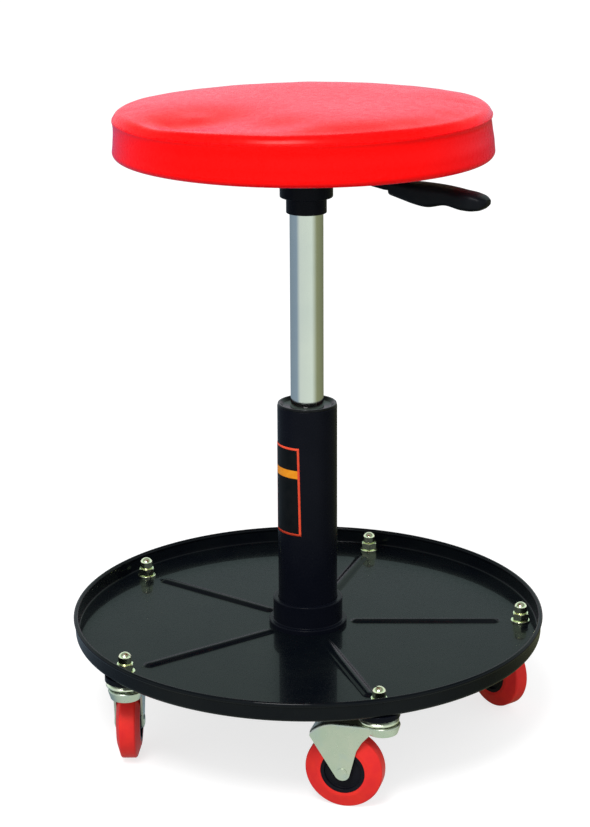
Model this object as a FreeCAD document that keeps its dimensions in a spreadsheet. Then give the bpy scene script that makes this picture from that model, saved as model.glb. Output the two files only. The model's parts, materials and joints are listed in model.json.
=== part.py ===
import FreeCAD, Part
import math
import os

import Sketcher
from FreeCAD import Placement, Rotation, Vector

# A mechanic's roller seat: a round padded seat on a gas lift, over a round tool tray on
# five swivel casters. Lengths are millimetres and angles are degrees. The origin is on the
# floor under the column, +Z is up, and the seat is drawn at the top of its travel.

os.makedirs("parts", exist_ok=True)
document = FreeCAD.newDocument("CreeperSeat")

# Driving dimensions: name, value, and what it measures.
dimensions = [
    ("seatGap", 0.05, "clearance of pieces that sit still in each other"),
    ("runGap", 0.05, "clearance of a running fit"),
    ("overrun", 5.0, "how far a cut runs past the face it opens"),
    # wheels
    ("wheelRadius", 31.75, "tyre radius, a 2.5 inch wheel"),
    ("tyreTreadWidth", 11.2, "flat of the tread"),
    ("tyreShoulderWidth", 13.2, "width where the shoulder starts"),
    ("tyreShoulderDrop", 0.9, "how far the shoulder lies below the tread"),
    ("tyreSideWidth", 19.8, "widest part of the tyre"),
    ("tyreSideRadius", 21.0, "radius of the widest part"),
    ("hubRadius", 18.2, "plastic wheel centre"),
    ("hubWidth", 20.0, "length of the wheel centre along the axle"),
    ("hubRimWall", 3.0, "rim of the wheel centre"),
    ("hubBossRadius", 7.5, "boss round the axle"),
    ("hubRecess", 3.0, "depth of the dish between boss and rim"),
    ("axleRadius", 3.0, "axle rivet"),
    ("axleHeadRadius", 4.3, "rivet head"),
    ("axleHeadHeight", 1.3, "rivet head"),
    ("axleHeadChamfer", 0.6, "edge of the rivet head"),
    # caster forks
    ("casterTrail", 27.3, "axle behind the swivel axis"),
    ("casterSetback", 16.6, "swivel axes inside the tray wall"),
    ("forkWidth", 24.0, "outside the legs"),
    ("forkGauge", 1.8, "steel sheet"),
    ("forkTopRise", 43.0, "top of the fork above the axle"),
    ("forkHeadRadius", 14.4, "round nose of the fork"),
    ("forkHeadLead", 2.8, "centre of the nose ahead of the swivel axis"),
    ("forkSkirtDraft", 2.0, "how far the turned-down nose leans in at its foot"),
    ("forkSkirt", 8.3, "height of the turned-down nose"),
    ("forkShoulderReach", 33.0, "where the top starts to fall"),
    ("forkTailReach", 54.0, "rear end of the top"),
    ("forkTailDrop", 9.8, "fall of the top at its rear end"),
    ("forkTailDepth", 3.6, "height of the rear edge"),
    ("forkEdgeRound", 3.0, "bend between top and legs"),
    ("legEndRadius", 6.4, "round end of the leg"),
    ("legWaistReach", 15.6, "front edge of the leg, waist"),
    ("legWaistRise", 20.5, "front edge of the leg, waist above the axle"),
    ("legRootReach", 11.0, "front edge of the leg at the head"),
    ("legRootRise", 28.5, "front edge of the leg at the head, above the axle"),
    # swivel bearings
    ("casterBallRadius", 1.5, "swivel ball"),
    ("casterBallCircle", 10.2, "radius of the ring of balls"),
    ("raceRadius", 16.2, "bowl over the balls"),
    ("raceHeight", 4.2, "height of the bowl"),
    ("raceRimGap", 1.8, "gap between bowl and fork"),
    ("raceHubRadius", 6.6, "middle of the bowl"),
    ("raceCrownRadius", 13.6, "top of the bowl, radius"),
    ("raceGauge", 2.0, "side of the bowl"),
    ("spacerRadius", 17.0, "black spacer under the tray"),
    ("spacerHeight", 4.6, "black spacer under the tray"),
    ("stemRadius", 4.0, "threaded stem, M8"),
    ("stemHeadRadius", 6.6, "peened head in the fork"),
    ("stemHeadHeight", 2.4, "peened head in the fork"),
    ("washerRadius", 8.3, "plain washer"),
    ("washerHeight", 1.6, "plain washer"),
    ("nutAcross", 13.0, "M8 nut across flats"),
    ("nutHeight", 6.5, "M8 nut"),
    ("capRadius", 5.5, "round domed cap nut"),
    ("capHeight", 9.6, "domed cap nut"),
    ("capDomeHeight", 3.6, "round part of the cap nut"),
    ("capRoof", 2.6, "metal over the stem's end"),
    # tool tray
    ("trayWallRadius", 201.6, "outside of the wall, 16 inches across with the rim"),
    ("trayRimStand", 1.4, "how far the rolled rim stands out past the wall"),
    ("trayGauge", 2.0, "steel sheet"),
    ("trayDepth", 14.9, "rim top above the tray floor"),
    ("trayRimRound", 2.1, "radius of the rolled rim"),
    ("trayCornerRound", 3.6, "outside radius between floor and wall"),
    ("beadWidth", 10.0, "pressed radial bead"),
    ("beadRise", 2.2, "height of the bead over the floor"),
    ("beadStart", 38.0, "inner end of the bead"),
    ("beadSetback", 35.6, "outer end of the bead inside the tray wall"),
    # hub of the tray
    ("collarRadius", 30.0, "collar round the column"),
    ("collarHeight", 24.2, "collar top above the tray floor"),
    ("collarChamfer", 1.0, "top edge of the collar"),
    ("flangeRadius", 33.7, "flange on the tray floor"),
    ("flangeHeight", 4.4, "flange on the tray floor"),
    ("spigotRadius", 28.0, "part of the hub below the flange"),
    ("spigotDrop", 27.4, "how far the hub reaches below the tray"),
    ("ledgeHeight", 2.0, "ledge that carries the column"),
    ("ledgeWidth", 3.6, "ledge that carries the column"),
    ("ringNutRadius", 38.0, "ring nut under the tray"),
    ("ringNutHeight", 8.0, "ring nut under the tray"),
    ("ringNutNotch", 5.0, "spanner notch, width and depth"),
    # column
    ("columnRadius", 25.4, "2 inch tube"),
    ("columnWall", 1.8, "tube wall"),
    ("columnLength", 224.6, "tube"),
    ("columnPlate", 4.0, "plate in the foot of the column"),
    ("bushFlange", 2.0, "rim of the guide bush on the column"),
    ("bushFlangeMargin", 0.4, "bush rim inside the tube's outside"),
    ("bushLength", 90.0, "guide bush"),
    ("bushLand", 20.0, "length of each bearing land"),
    ("bushRelief", 1.0, "bore relief between the lands"),
    # thrust bearing, rod and stop
    ("thrustRadius", 12.5, "thrust washers"),
    ("thrustWasher", 1.5, "thrust washer thickness"),
    ("thrustBallRadius", 1.6, "thrust ball"),
    ("thrustBallCircle", 9.2, "radius of the ring of balls"),
    ("rodRadius", 5.0, "piston rod"),
    ("rodCollarRadius", 7.5, "shoulder on the rod"),
    ("rodCollarHeight", 3.0, "shoulder on the rod"),
    ("rodTail", 6.0, "rod end below the column plate"),
    ("rodSpigotRadius", 4.0, "rod end in the piston"),
    ("clipRadius", 8.0, "retaining clip"),
    ("clipHeight", 1.1, "retaining clip"),
    ("clipGrooveDepth", 1.0, "groove for the clip"),
    ("clipMouth", 6.0, "open side of the clip"),
    ("bumpRadius", 11.0, "rubber stop"),
    ("bumpHeight", 12.0, "rubber stop"),
    ("bumpWaist", 1.5, "groove round the rubber stop"),
    ("bumpRest", 0.5, "gap over the stop with the seat down"),
    ("stroke", 120.0, "travel of the lift"),
    # pressure tube
    ("tubeRadius", 14.0, "28 mm tube"),
    ("tubeWall", 1.5, "tube wall"),
    ("tubeLength", 268.3, "tube"),
    ("taperFall", 0.9, "how much the tube's top tapers, on radius"),
    ("rodGuideHeight", 16.0, "guide in the tube's lower end"),
    ("linerRadius", 11.7, "cylinder liner"),
    ("linerWall", 1.0, "cylinder liner"),
    ("pistonHeight", 14.0, "piston"),
    ("pistonLift", 4.5, "piston above the rod guide with the seat up"),
    ("sealWidth", 2.4, "piston seal"),
    ("sealDepth", 1.6, "piston seal"),
    ("valveHeight", 32.0, "valve body in the tube's top"),
    ("valveFloor", 2.0, "floor of the pin's bore"),
    ("pinRadius", 3.0, "valve pin"),
    ("pinReach", 5.9, "valve pin above the tube"),
    ("pinDepth", 26.5, "valve pin inside the tube"),
    ("pinChamfer", 0.6, "top edge of the valve pin"),
    # socket under the seat
    ("socketGrip", 25.0, "taper joint"),
    ("socketLowRadius", 16.8, "lower part of the socket"),
    ("socketLowHeight", 13.0, "lower part of the socket"),
    ("socketHighRadius", 22.0, "upper part of the socket"),
    ("socketHeight", 46.2, "whole socket"),
    ("socketChamber", 14.2, "space over the tube, radius"),
    ("plateSide", 150.0, "square seat plate"),
    ("plateGauge", 3.0, "square seat plate"),
    ("plateCorner", 12.0, "corner of the seat plate"),
    ("plateBoltReach", 57.0, "bolts from the middle, each way"),
    ("boltRadius", 3.0, "M6 bolt"),
    ("boltHole", 3.3, "hole in the seat plate"),
    ("boltHeadAcross", 10.0, "M6 head across flats"),
    ("boltHeadHeight", 4.0, "M6 head"),
    ("boltLength", 15.0, "M6 bolt under its head"),
    ("boltWasherRadius", 6.2, "M6 washer"),
    ("boltWasherHeight", 1.6, "M6 washer"),
    ("teeRadius", 9.0, "flange of the tee nut"),
    ("teeFlange", 1.5, "flange of the tee nut"),
    ("teeBarrelRadius", 4.9, "barrel of the tee nut"),
    ("teeBarrel", 8.0, "barrel of the tee nut"),
    # lever
    ("leverRodRadius", 4.0, "lever rod"),
    ("leverTouch", 0.1, "gap between lever and valve pin at rest"),
    ("leverTail", 6.0, "rod end past the valve pin"),
    ("pivotReach", 31.0, "pivot from the column's axis"),
    ("pivotRadius", 2.0, "pivot pin"),
    ("pivotHeadRadius", 3.2, "pivot pin head"),
    ("pivotHeadHeight", 1.2, "pivot pin head"),
    ("bracketWidth", 16.0, "outside the ears"),
    ("bracketEar", 2.8, "ear thickness"),
    ("bracketInner", 23.0, "ear edge next to the socket"),
    ("bracketOuter", 38.5, "outer ear edge"),
    ("bracketDrop", 16.0, "ears below the seat plate"),
    ("bracketWeb", 2.0, "web on the seat plate"),
    ("slotWidth", 9.8, "lever slot in the socket"),
    ("slotDrop", 7.0, "slot floor below the rod's axis"),
    ("slotRise", 6.0, "slot roof above the rod's axis"),
    ("crankReach", 38.0, "where the rod turns down"),
    ("crankAngle", 9.5, "slope of the crank"),
    ("crankRun", 33.0, "straight part of the crank"),
    ("crankRound", 10.0, "bend radius of the rod"),
    ("leverSlope", 1.7, "slope of the outer part"),
    ("leverGrip", 34.0, "rod inside the handle"),
    ("handleLength", 86.0, "plastic handle"),
    ("handleWidth", 22.0, "plastic handle"),
    ("handleRise", 6.3, "handle above the rod's axis"),
    ("handleDrop", 12.6, "handle below the rod's axis"),
    ("handleSetback", 4.8, "straight rod between crank and handle"),
    # seat
    ("boardHeight", 12.0, "plywood board"),
    ("coverGauge", 1.2, "vinyl"),
    ("cushionHeight", 42.8, "board underside to the top of the crown"),
    ("seamRise", 30.8, "seam above the board's underside"),
    ("seamStand", 1.1, "how far the seam lip stands out past the side"),
    ("seamLip", 1.5, "height of the lip below the seam"),
    ("sideRadius", 153.4, "side of the cushion at its ends"),
    ("sideDraw", 0.9, "how far the side is drawn in"),
    ("cornerRound", 5.0, "lower edge of the cushion"),
    ("edgeRound", 7.5, "upper edge of the cushion"),
    ("crownFlat", 60.0, "flat middle of the seat's top, radius"),
    ("coverTurnIn", 25.0, "vinyl turned under the board"),
    ("stapleSetback", 17.4, "ring of staples inside the side"),
    ("stapleCrown", 10.0, "staple"),
    ("stapleWire", 0.9, "staple"),
    ("stapleHeight", 0.6, "staple"),
]

casterCount = 5
casterBallCount = 12
thrustBallCount = 14
ringNutNotches = 4
stapleCount = 24
hexSides = 6
plateBolts = 4

# The direction of the lever from +X.
leverTurn = -30.0

# Each caster's name and the direction its wheel trails in, from +X. They stand as a user
# leaves them, each its own way.
casterTrailAngles = [
    ("right", 127.6),
    ("rear_right", 190.0),
    ("rear_left", 40.0),
    ("front_left", 90.3),
    ("front_right", 165.3),
]

# The handle's sections from its root to its tip, as shares of its length, width, rise
# and drop.
handleSectionShares = [
    (0.00, 0.50, 0.79, 0.55),
    (0.15, 0.74, 0.89, 0.75),
    (0.27, 0.88, 0.97, 0.91),
    (0.40, 0.94, 1.00, 1.00),
    (0.60, 0.97, 0.90, 0.73),
    (0.77, 1.00, 0.65, 0.89),
    (0.89, 0.94, 0.46, 0.85),
    (0.965, 0.76, 0.14, 0.68),
    (1.00, 0.46, -0.14, 0.46),
]
handleCornerShare = 0.42

sheet = document.addObject("Spreadsheet::Sheet", "Sizes")
for row, (name, number, meaning) in enumerate(dimensions, start=1):
    sheet.set("A%d" % row, meaning)
    sheet.set("B%d" % row, str(number))
    sheet.setAlias("B%d" % row, name)
document.recompute()


class Size:
    # A number together with the sheet formula that gives it, so that one sum serves
    # both for drawing and for binding.
    def __init__(self, number, formula):
        self.number = float(number)
        self.formula = formula

    def join(self, sign, other, number):
        return Size(number, "(%s %s %s)" % (self.formula, sign, asSize(other).formula))

    def __add__(self, other):
        return self.join("+", other, self.number + asSize(other).number)

    def __sub__(self, other):
        return self.join("-", other, self.number - asSize(other).number)

    def __mul__(self, other):
        return self.join("*", other, self.number * asSize(other).number)

    def __truediv__(self, other):
        return self.join("/", other, self.number / asSize(other).number)

    def __neg__(self):
        return Size(-self.number, "(-1 * %s)" % self.formula)


def asSize(value):
    return value if isinstance(value, Size) else Size(value, repr(float(value)))


def apply(name, function, size, *rest):
    sizes = [asSize(size)] + [asSize(other) for other in rest]
    number = function(*[each.number for each in sizes])
    return Size(number, "%s(%s)" % (name, "; ".join(each.formula for each in sizes)))


def cosine(angle):
    return apply("cos", lambda degrees: math.cos(math.radians(degrees)), angle)


def sine(angle):
    return apply("sin", lambda degrees: math.sin(math.radians(degrees)), angle)


def root(size):
    return apply("sqrt", math.sqrt, size)


def arcCosine(ratio):
    return apply("acos", lambda share: math.degrees(math.acos(share)), ratio)


def bearing(rise, run):
    return apply("atan2", lambda up, along: math.degrees(math.atan2(up, along)), rise, run)


def size(name):
    return Size(float(sheet.get(name)), "Sizes." + name)


zero = Size(0, "0")


def bind(item, path, value):
    item.setExpression(path, value.formula)


def newBody(label):
    body = document.addObject("PartDesign::Body", label)
    body.Label = label
    body.AllowCompound = True
    return body


def originPart(body, role):
    for feature in body.Origin.OriginFeatures:
        if feature.Role == role:
            return feature


def newSketch(body, label, role, offset=zero):
    # The offset moves the sketch along the normal of its plane.
    sketch = body.newObject("Sketcher::SketchObject", label)
    sketch.AttachmentSupport = [(originPart(body, role), "")]
    sketch.MapMode = "FlatFace"
    bind(sketch, "AttachmentOffset.Base.z", offset)
    return sketch


def hold(sketch, kind, where, value):
    index = sketch.addConstraint(Sketcher.Constraint(kind, *where, value.number))
    if value.formula != zero.formula:
        sketch.setExpression("Constraints[%d]" % index, value.formula)


def fix(sketch, geometry, vertex, across, up):
    hold(sketch, "DistanceX", (-1, 1, geometry, vertex), across)
    hold(sketch, "DistanceY", (-1, 1, geometry, vertex), up)


def drawEdge(sketch, start, corner):
    # A corner of two values ends a straight run. A corner of four ends an arc of under
    # half a turn, and its last two values are the arc's centre.
    goal = Vector(corner[0].number, corner[1].number, 0)
    if len(corner) == 2:
        return sketch.addGeometry(Part.LineSegment(start, goal), False), 1, 2
    centre = Vector(corner[2].number, corner[3].number, 0)
    first = math.atan2(start.y - centre.y, start.x - centre.x)
    last = math.atan2(goal.y - centre.y, goal.x - centre.x)
    sweep = (last - first + math.pi) % (2 * math.pi) - math.pi
    circle = Part.Circle(centre, Vector(0, 0, 1), start.distanceToPoint(centre))
    low = min(first, first + sweep)
    index = sketch.addGeometry(Part.ArcOfCircle(circle, low, low + abs(sweep)), False)
    return (index, 1, 2) if sweep > 0 else (index, 2, 1)


def drawOutline(sketch, corners, closed=True):
    # Draws an outline or an open path whose every corner is held at sheet values.
    corners = [tuple(asSize(value) for value in corner) for corner in corners]
    arrivals = corners[1:] + (corners[:1] if closed else [])
    points = [Vector(corner[0].number, corner[1].number, 0) for corner in corners]
    edges = [drawEdge(sketch, start, corner) for start, corner in zip(points, arrivals)]
    followers = edges[1:] + (edges[:1] if closed else [])
    for (index, near, far), (following, start, _) in zip(edges, followers):
        sketch.addConstraint(Sketcher.Constraint("Coincident", index, far, following, start))
    for (index, near, far), corner in zip(edges, corners):
        fix(sketch, index, near, corner[0], corner[1])
    if not closed:
        fix(sketch, edges[-1][0], edges[-1][2], corners[-1][0], corners[-1][1])
    for (index, near, far), start, corner in zip(edges, points, arrivals):
        if len(corner) == 4:
            chord = Vector(corner[0].number, corner[1].number, 0) - start
            upright = abs(chord.y) >= abs(chord.x)
            kind = "DistanceX" if upright else "DistanceY"
            hold(sketch, kind, (-1, 1, index, 3), corner[2] if upright else corner[3])


def drawCircle(sketch, radius, across=zero, up=zero):
    centre = Vector(across.number, up.number, 0)
    index = sketch.addGeometry(Part.Circle(centre, Vector(0, 0, 1), radius.number), False)
    hold(sketch, "Radius", (index,), radius)
    fix(sketch, index, 3, across, up)


def drawAxis(sketch, start, goal):
    ends = [Vector(end[0].number, end[1].number, 0) for end in (start, goal)]
    index = sketch.addGeometry(Part.LineSegment(*ends), True)
    fix(sketch, index, 1, *start)
    fix(sketch, index, 2, *goal)


def addFeature(body, kind, label):
    return body.newObject("PartDesign::" + kind, label)


def finishFeature(body, feature):
    body.Tip = feature
    document.recompute()
    return feature


def turn(body, label, corners, centre=None, kind="Revolution", plane="XZ_Plane", lying=False):
    # Turns an outline round the upright axis of its plane, or round an upright line at
    # the centre, or, lying, round the level axis.
    sketch = newSketch(body, label + "Outline", plane)
    drawOutline(sketch, corners)
    axis = "H_Axis" if lying else "V_Axis"
    if centre is not None:
        drawAxis(sketch, (centre, zero), (centre, size("overrun")))
        axis = "Axis0"
    feature = addFeature(body, kind, label)
    feature.Profile = sketch
    feature.ReferenceAxis = (sketch, [axis])
    feature.Angle = 360
    return finishFeature(body, feature)


def push(body, label, sketch, length, kind="Pad", midplane=False, reverse=False):
    # Pads or pockets a sketch. A pocket must take something away.
    before = 0 if kind == "Pad" else body.Shape.Volume
    feature = addFeature(body, kind, label)
    feature.Profile = sketch
    feature.SideType = "Symmetric" if midplane else "One side"
    feature.Reversed = reverse
    bind(feature, "Length", length)
    finishFeature(body, feature)
    if kind == "Pocket" and body.Shape.Volume > before - 1e-6:
        raise ValueError("%s takes nothing away" % label)
    return feature


def pushDisc(body, label, foot, height, outer, inner=None, centre=(zero, zero)):
    sketch = newSketch(body, label + "Circle", "XY_Plane", foot)
    drawCircle(sketch, outer, *centre)
    if inner is not None:
        drawCircle(sketch, inner, *centre)
    return push(body, label, sketch, height)


def boreDown(body, label, top, depth, radius, centre=(zero, zero)):
    # A round hole that starts a little above the top it opens.
    sketch = newSketch(body, label + "Circle", "XY_Plane", top + size("overrun"))
    drawCircle(sketch, radius, *centre)
    return push(body, label, sketch, depth + size("overrun"), kind="Pocket")


def pushHexagon(body, label, foot, height, across, centre=(zero, zero)):
    sketch = newSketch(body, label + "Hexagon", "XY_Plane", foot)
    corner = across / 2 / cosine(180 / hexSides)
    corners = []
    for side in range(hexSides):
        angle = asSize(360 * side / hexSides)
        corners.append((centre[0] + corner * cosine(angle), centre[1] + corner * sine(angle)))
    drawOutline(sketch, corners)
    return push(body, label, sketch, height)


def polar(body, label, originals, count):
    pattern = addFeature(body, "PolarPattern", label)
    pattern.Originals = originals
    pattern.Axis = (originPart(body, "Z_Axis"), [""])
    pattern.Angle = 360
    pattern.Occurrences = count
    return finishFeature(body, pattern)


def roundEdges(body, label, radius, wanted):
    names = []
    for index, edge in enumerate(body.Shape.Edges, start=1):
        if wanted(edge):
            names.append("Edge%d" % index)
    base = body.Tip
    feature = addFeature(body, "Fillet", label)
    feature.Base = (base, names)
    bind(feature, "Radius", radius)
    return finishFeature(body, feature)


def ringOutline(inner, outer, foot, top):
    return [(inner, foot), (outer, foot), (outer, top), (inner, top)]


def ballOutline(centre, height, radius):
    return [
        (centre, height - radius),
        (centre + radius, height, centre, height),
        (centre, height + radius, centre, height),
    ]


def putAt(body, across, along, up, rotation):
    body.Placement = Placement(Vector(across.number, along.number, up.number), rotation)
    bind(body, "Placement.Base.x", across)
    bind(body, "Placement.Base.y", along)
    bind(body, "Placement.Base.z", up)


def turned(angle):
    return Rotation(Vector(0, 0, 1), float(angle))


seatGap = size("seatGap")
runGap = size("runGap")
overrun = size("overrun")

# Heights that pieces share, from the floor up.
axleHeight = size("wheelRadius")
forkTop = axleHeight + size("forkTopRise")
raceFoot = forkTop + size("raceRimGap")
raceTop = raceFoot + size("raceHeight")
trayUnder = raceTop + size("spacerHeight")
trayFloor = trayUnder + size("trayGauge")
rimTop = trayFloor + size("trayDepth")
washerTop = trayFloor + size("washerHeight")
nutTop = washerTop + size("nutHeight")
capTop = nutTop + size("capHeight")
capRoof = capTop - size("capRoof")
hubFoot = trayUnder - size("spigotDrop")
columnFoot = hubFoot + size("ledgeHeight")
columnTop = columnFoot + size("columnLength")
plateTop = columnFoot + size("columnPlate")
lowWasherTop = plateTop + size("thrustWasher")
thrustBallHeight = lowWasherTop + runGap + size("thrustBallRadius")
highWasherFoot = thrustBallHeight + size("thrustBallRadius") + runGap
highWasherTop = highWasherFoot + size("thrustWasher")
rodCollarTop = highWasherTop + size("rodCollarHeight")
bumpTop = rodCollarTop + size("bumpHeight")
tubeFoot = bumpTop + size("bumpRest") + size("stroke")
tubeTop = tubeFoot + size("tubeLength")
guideTop = tubeFoot + size("rodGuideHeight")
pistonFoot = guideTop + size("pistonLift")
pistonTop = pistonFoot + size("pistonHeight")
valveFoot = tubeTop - size("valveHeight")
pinTop = tubeTop + size("pinReach")
pinFoot = tubeTop - size("pinDepth")
leverHeight = pinTop + size("leverTouch") + size("leverRodRadius")
socketFoot = tubeTop - size("socketGrip")
socketTop = socketFoot + size("socketHeight")
boardFoot = socketTop + size("plateGauge")
boardTop = boardFoot + size("boardHeight")

columnBore = size("columnRadius") - size("columnWall")
tubeRadius = size("tubeRadius")
tubeBore = tubeRadius - size("tubeWall")
rodRadius = size("rodRadius")
casterRing = size("trayWallRadius") - size("casterSetback")
stemHole = size("stemRadius") + seatGap


def makeTray():
    body = newBody("tool_tray")
    wall = size("trayWallRadius")
    gauge = size("trayGauge")
    corner = size("trayCornerRound")
    bendReach = wall - corner
    bendHeight = trayUnder + corner
    rolled = size("trayRimRound")
    wallTop = rimTop - rolled
    hole = size("spigotRadius") + seatGap
    turn(body, "TrayPan", [
        (hole, trayUnder),
        (bendReach, trayUnder),
        (wall, bendHeight, bendReach, bendHeight),
        (wall, wallTop),
        (wall - gauge, wallTop),
        (wall - gauge, bendHeight),
        (bendReach, trayFloor, bendReach, bendHeight),
        (hole, trayFloor),
    ])
    # The rolled rim is a ring of round section on top of the wall.
    section = newSketch(body, "TrayRimSection", "XZ_Plane")
    drawCircle(section, rolled, wall + size("trayRimStand") - rolled, wallTop)
    rim = addFeature(body, "Revolution", "TrayRim")
    rim.Profile = section
    rim.ReferenceAxis = (section, ["V_Axis"])
    rim.Angle = 360
    finishFeature(body, rim)
    # A bead is the top of a long capsule lying under the floor. The capsule's radius
    # comes from the bead's half width and rise, as of a circle from chord and height.
    # What stands out below the floor is turned away, and then the same capsule, thinner
    # by the sheet, is cut out for the hollow under the bead.
    half = size("beadWidth") / 2
    rise = size("beadRise")
    capsule = (half * half / rise + rise) / 2
    level = trayFloor + rise - capsule
    inner = size("beadStart") + half
    outer = wall - size("beadSetback") - half
    bead = capsuleAlong(body, "TrayBead", inner, outer, level, capsule, "Revolution")
    polar(body, "TrayBeads", [bead], casterCount)
    below = ringOutline(inner - capsule * 2, outer + capsule * 2, trayUnder - capsule * 2, trayUnder)
    turn(body, "TrayUnderside", below, kind="Groove")
    hollow = capsuleAlong(body, "TrayHollow", inner, outer, level, capsule - gauge, "Groove")
    polar(body, "TrayHollows", [hollow], casterCount)
    hole = boreDown(body, "TrayHole", trayFloor, gauge + overrun, stemHole, (casterRing, zero))
    polar(body, "TrayHoles", [hole], casterCount)


def capsuleAlong(body, label, inner, outer, level, radius, kind):
    sketch = newSketch(body, label + "Outline", "XZ_Plane")
    drawOutline(sketch, [
        (inner - radius, level, inner, level),
        (outer + radius, level),
        (outer, level + radius, outer, level),
        (inner, level + radius),
    ])
    drawAxis(sketch, (inner, level), (outer, level))
    feature = addFeature(body, kind, label)
    feature.Profile = sketch
    feature.ReferenceAxis = (sketch, ["Axis0"])
    feature.Angle = 360
    return finishFeature(body, feature)


def makeHub():
    body = newBody("hub_socket")
    column = size("columnRadius")
    bore = column + seatGap
    collar = size("collarRadius")
    chamfer = size("collarChamfer")
    spigot = size("spigotRadius")
    flangeTop = trayFloor + size("flangeHeight")
    collarTop = trayFloor + size("collarHeight")
    turn(body, "HubSocket", [
        (column - size("ledgeWidth"), hubFoot),
        (spigot, hubFoot),
        (spigot, trayFloor),
        (size("flangeRadius"), trayFloor),
        (size("flangeRadius"), flangeTop),
        (collar, flangeTop),
        (collar, collarTop - chamfer),
        (collar - chamfer, collarTop),
        (bore, collarTop),
        (bore, columnFoot),
        (column - size("ledgeWidth"), columnFoot),
    ])
    body = newBody("hub_ring_nut")
    radius = size("ringNutRadius")
    height = size("ringNutHeight")
    foot = trayUnder - height
    pushDisc(body, "RingNut", foot, height, radius, spigot + seatGap)
    notch = size("ringNutNotch")
    sketch = newSketch(body, "RingNutNotchOutline", "XY_Plane", trayUnder + overrun)
    drawOutline(sketch, [
        (radius - notch, -notch / 2),
        (radius + overrun, -notch / 2),
        (radius + overrun, notch / 2),
        (radius - notch, notch / 2),
    ])
    cut = push(body, "RingNutNotch", sketch, height + overrun * 2, kind="Pocket")
    polar(body, "RingNutNotches", [cut], ringNutNotches)


def makeColumn():
    body = newBody("column_tube")
    pushDisc(body, "Column", columnFoot, size("columnLength"), size("columnRadius"), columnBore)
    body = newBody("column_foot_plate")
    outer = columnBore - seatGap
    pushDisc(body, "FootPlate", columnFoot, size("columnPlate"), outer, rodRadius + runGap)
    body = newBody("guide_bush")
    foot = columnTop - size("bushLength")
    rimRadius = size("columnRadius") - size("bushFlangeMargin")
    bushTop = columnTop + size("bushFlange")
    bore = tubeRadius + runGap
    land = size("bushLand")
    relief = bore + size("bushRelief")
    turn(body, "GuideBush", [
        (bore, foot),
        (outer, foot),
        (outer, columnTop),
        (rimRadius, columnTop),
        (rimRadius, bushTop),
        (bore, bushTop),
        (bore, bushTop - land),
        (relief, bushTop - land),
        (relief, foot + land),
        (bore, foot + land),
    ])


def makeThrustBearing():
    body = newBody("thrust_washer_lower")
    outer = size("thrustRadius")
    pushDisc(body, "LowWasher", plateTop, size("thrustWasher"), outer, rodRadius + runGap)
    body = newBody("thrust_balls")
    ball = ballOutline(size("thrustBallCircle"), thrustBallHeight, size("thrustBallRadius"))
    seed = turn(body, "ThrustBall", ball, centre=size("thrustBallCircle"))
    polar(body, "ThrustBalls", [seed], thrustBallCount)
    body = newBody("thrust_washer_upper")
    pushDisc(body, "HighWasher", highWasherFoot, size("thrustWasher"), outer, rodRadius + seatGap)


def makeRod():
    # The rod has a groove for its clip at the foot, and a neck for the piston at its top.
    body = newBody("piston_rod")
    neck = size("rodSpigotRadius")
    clipTop = columnFoot - runGap
    clipFoot = clipTop - size("clipHeight")
    groove = rodRadius - size("clipGrooveDepth")
    tail = columnFoot - size("rodTail")
    turn(body, "PistonRod", [
        (zero, tail),
        (rodRadius, tail),
        (rodRadius, clipFoot - runGap),
        (groove, clipFoot - runGap),
        (groove, clipTop),
        (rodRadius, clipTop),
        (rodRadius, highWasherTop),
        (size("rodCollarRadius"), highWasherTop),
        (size("rodCollarRadius"), rodCollarTop),
        (rodRadius, rodCollarTop),
        (rodRadius, pistonFoot),
        (neck, pistonFoot),
        (neck, pistonTop),
        (zero, pistonTop),
    ])
    body = newBody("rod_clip")
    pushDisc(body, "Clip", clipFoot, size("clipHeight"), size("clipRadius"), groove + seatGap)
    mouth = newSketch(body, "ClipMouthOutline", "XY_Plane", clipTop + overrun)
    half = size("clipMouth") / 2
    drawOutline(mouth, [
        (zero, -half),
        (size("clipRadius") + overrun, -half),
        (size("clipRadius") + overrun, half),
        (zero, half),
    ])
    push(body, "ClipMouth", mouth, size("clipHeight") + overrun * 2, kind="Pocket")
    body = newBody("bump_stop")
    bump = size("bumpRadius")
    waist = size("bumpWaist")
    middle = (rodCollarTop + bumpTop) / 2
    turn(body, "BumpStop", [
        (rodRadius + seatGap, rodCollarTop),
        (bump, rodCollarTop),
        (bump, middle - waist),
        (bump - waist, middle),
        (bump, middle + waist),
        (bump, bumpTop),
        (rodRadius + seatGap, bumpTop),
    ])
    body = newBody("piston_head")
    outer = size("linerRadius") - size("linerWall") - runGap
    middle = (pistonFoot + pistonTop) / 2
    half = size("sealWidth") / 2 + seatGap
    floor = outer - size("sealDepth")
    turn(body, "PistonHead", [
        (neck + seatGap, pistonFoot),
        (outer, pistonFoot),
        (outer, middle - half),
        (floor, middle - half),
        (floor, middle + half),
        (outer, middle + half),
        (outer, pistonTop),
        (neck + seatGap, pistonTop),
    ])
    body = newBody("piston_seal")
    half = size("sealWidth") / 2
    turn(body, "PistonSeal", ringOutline(floor + seatGap, outer, middle - half, middle + half))


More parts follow.
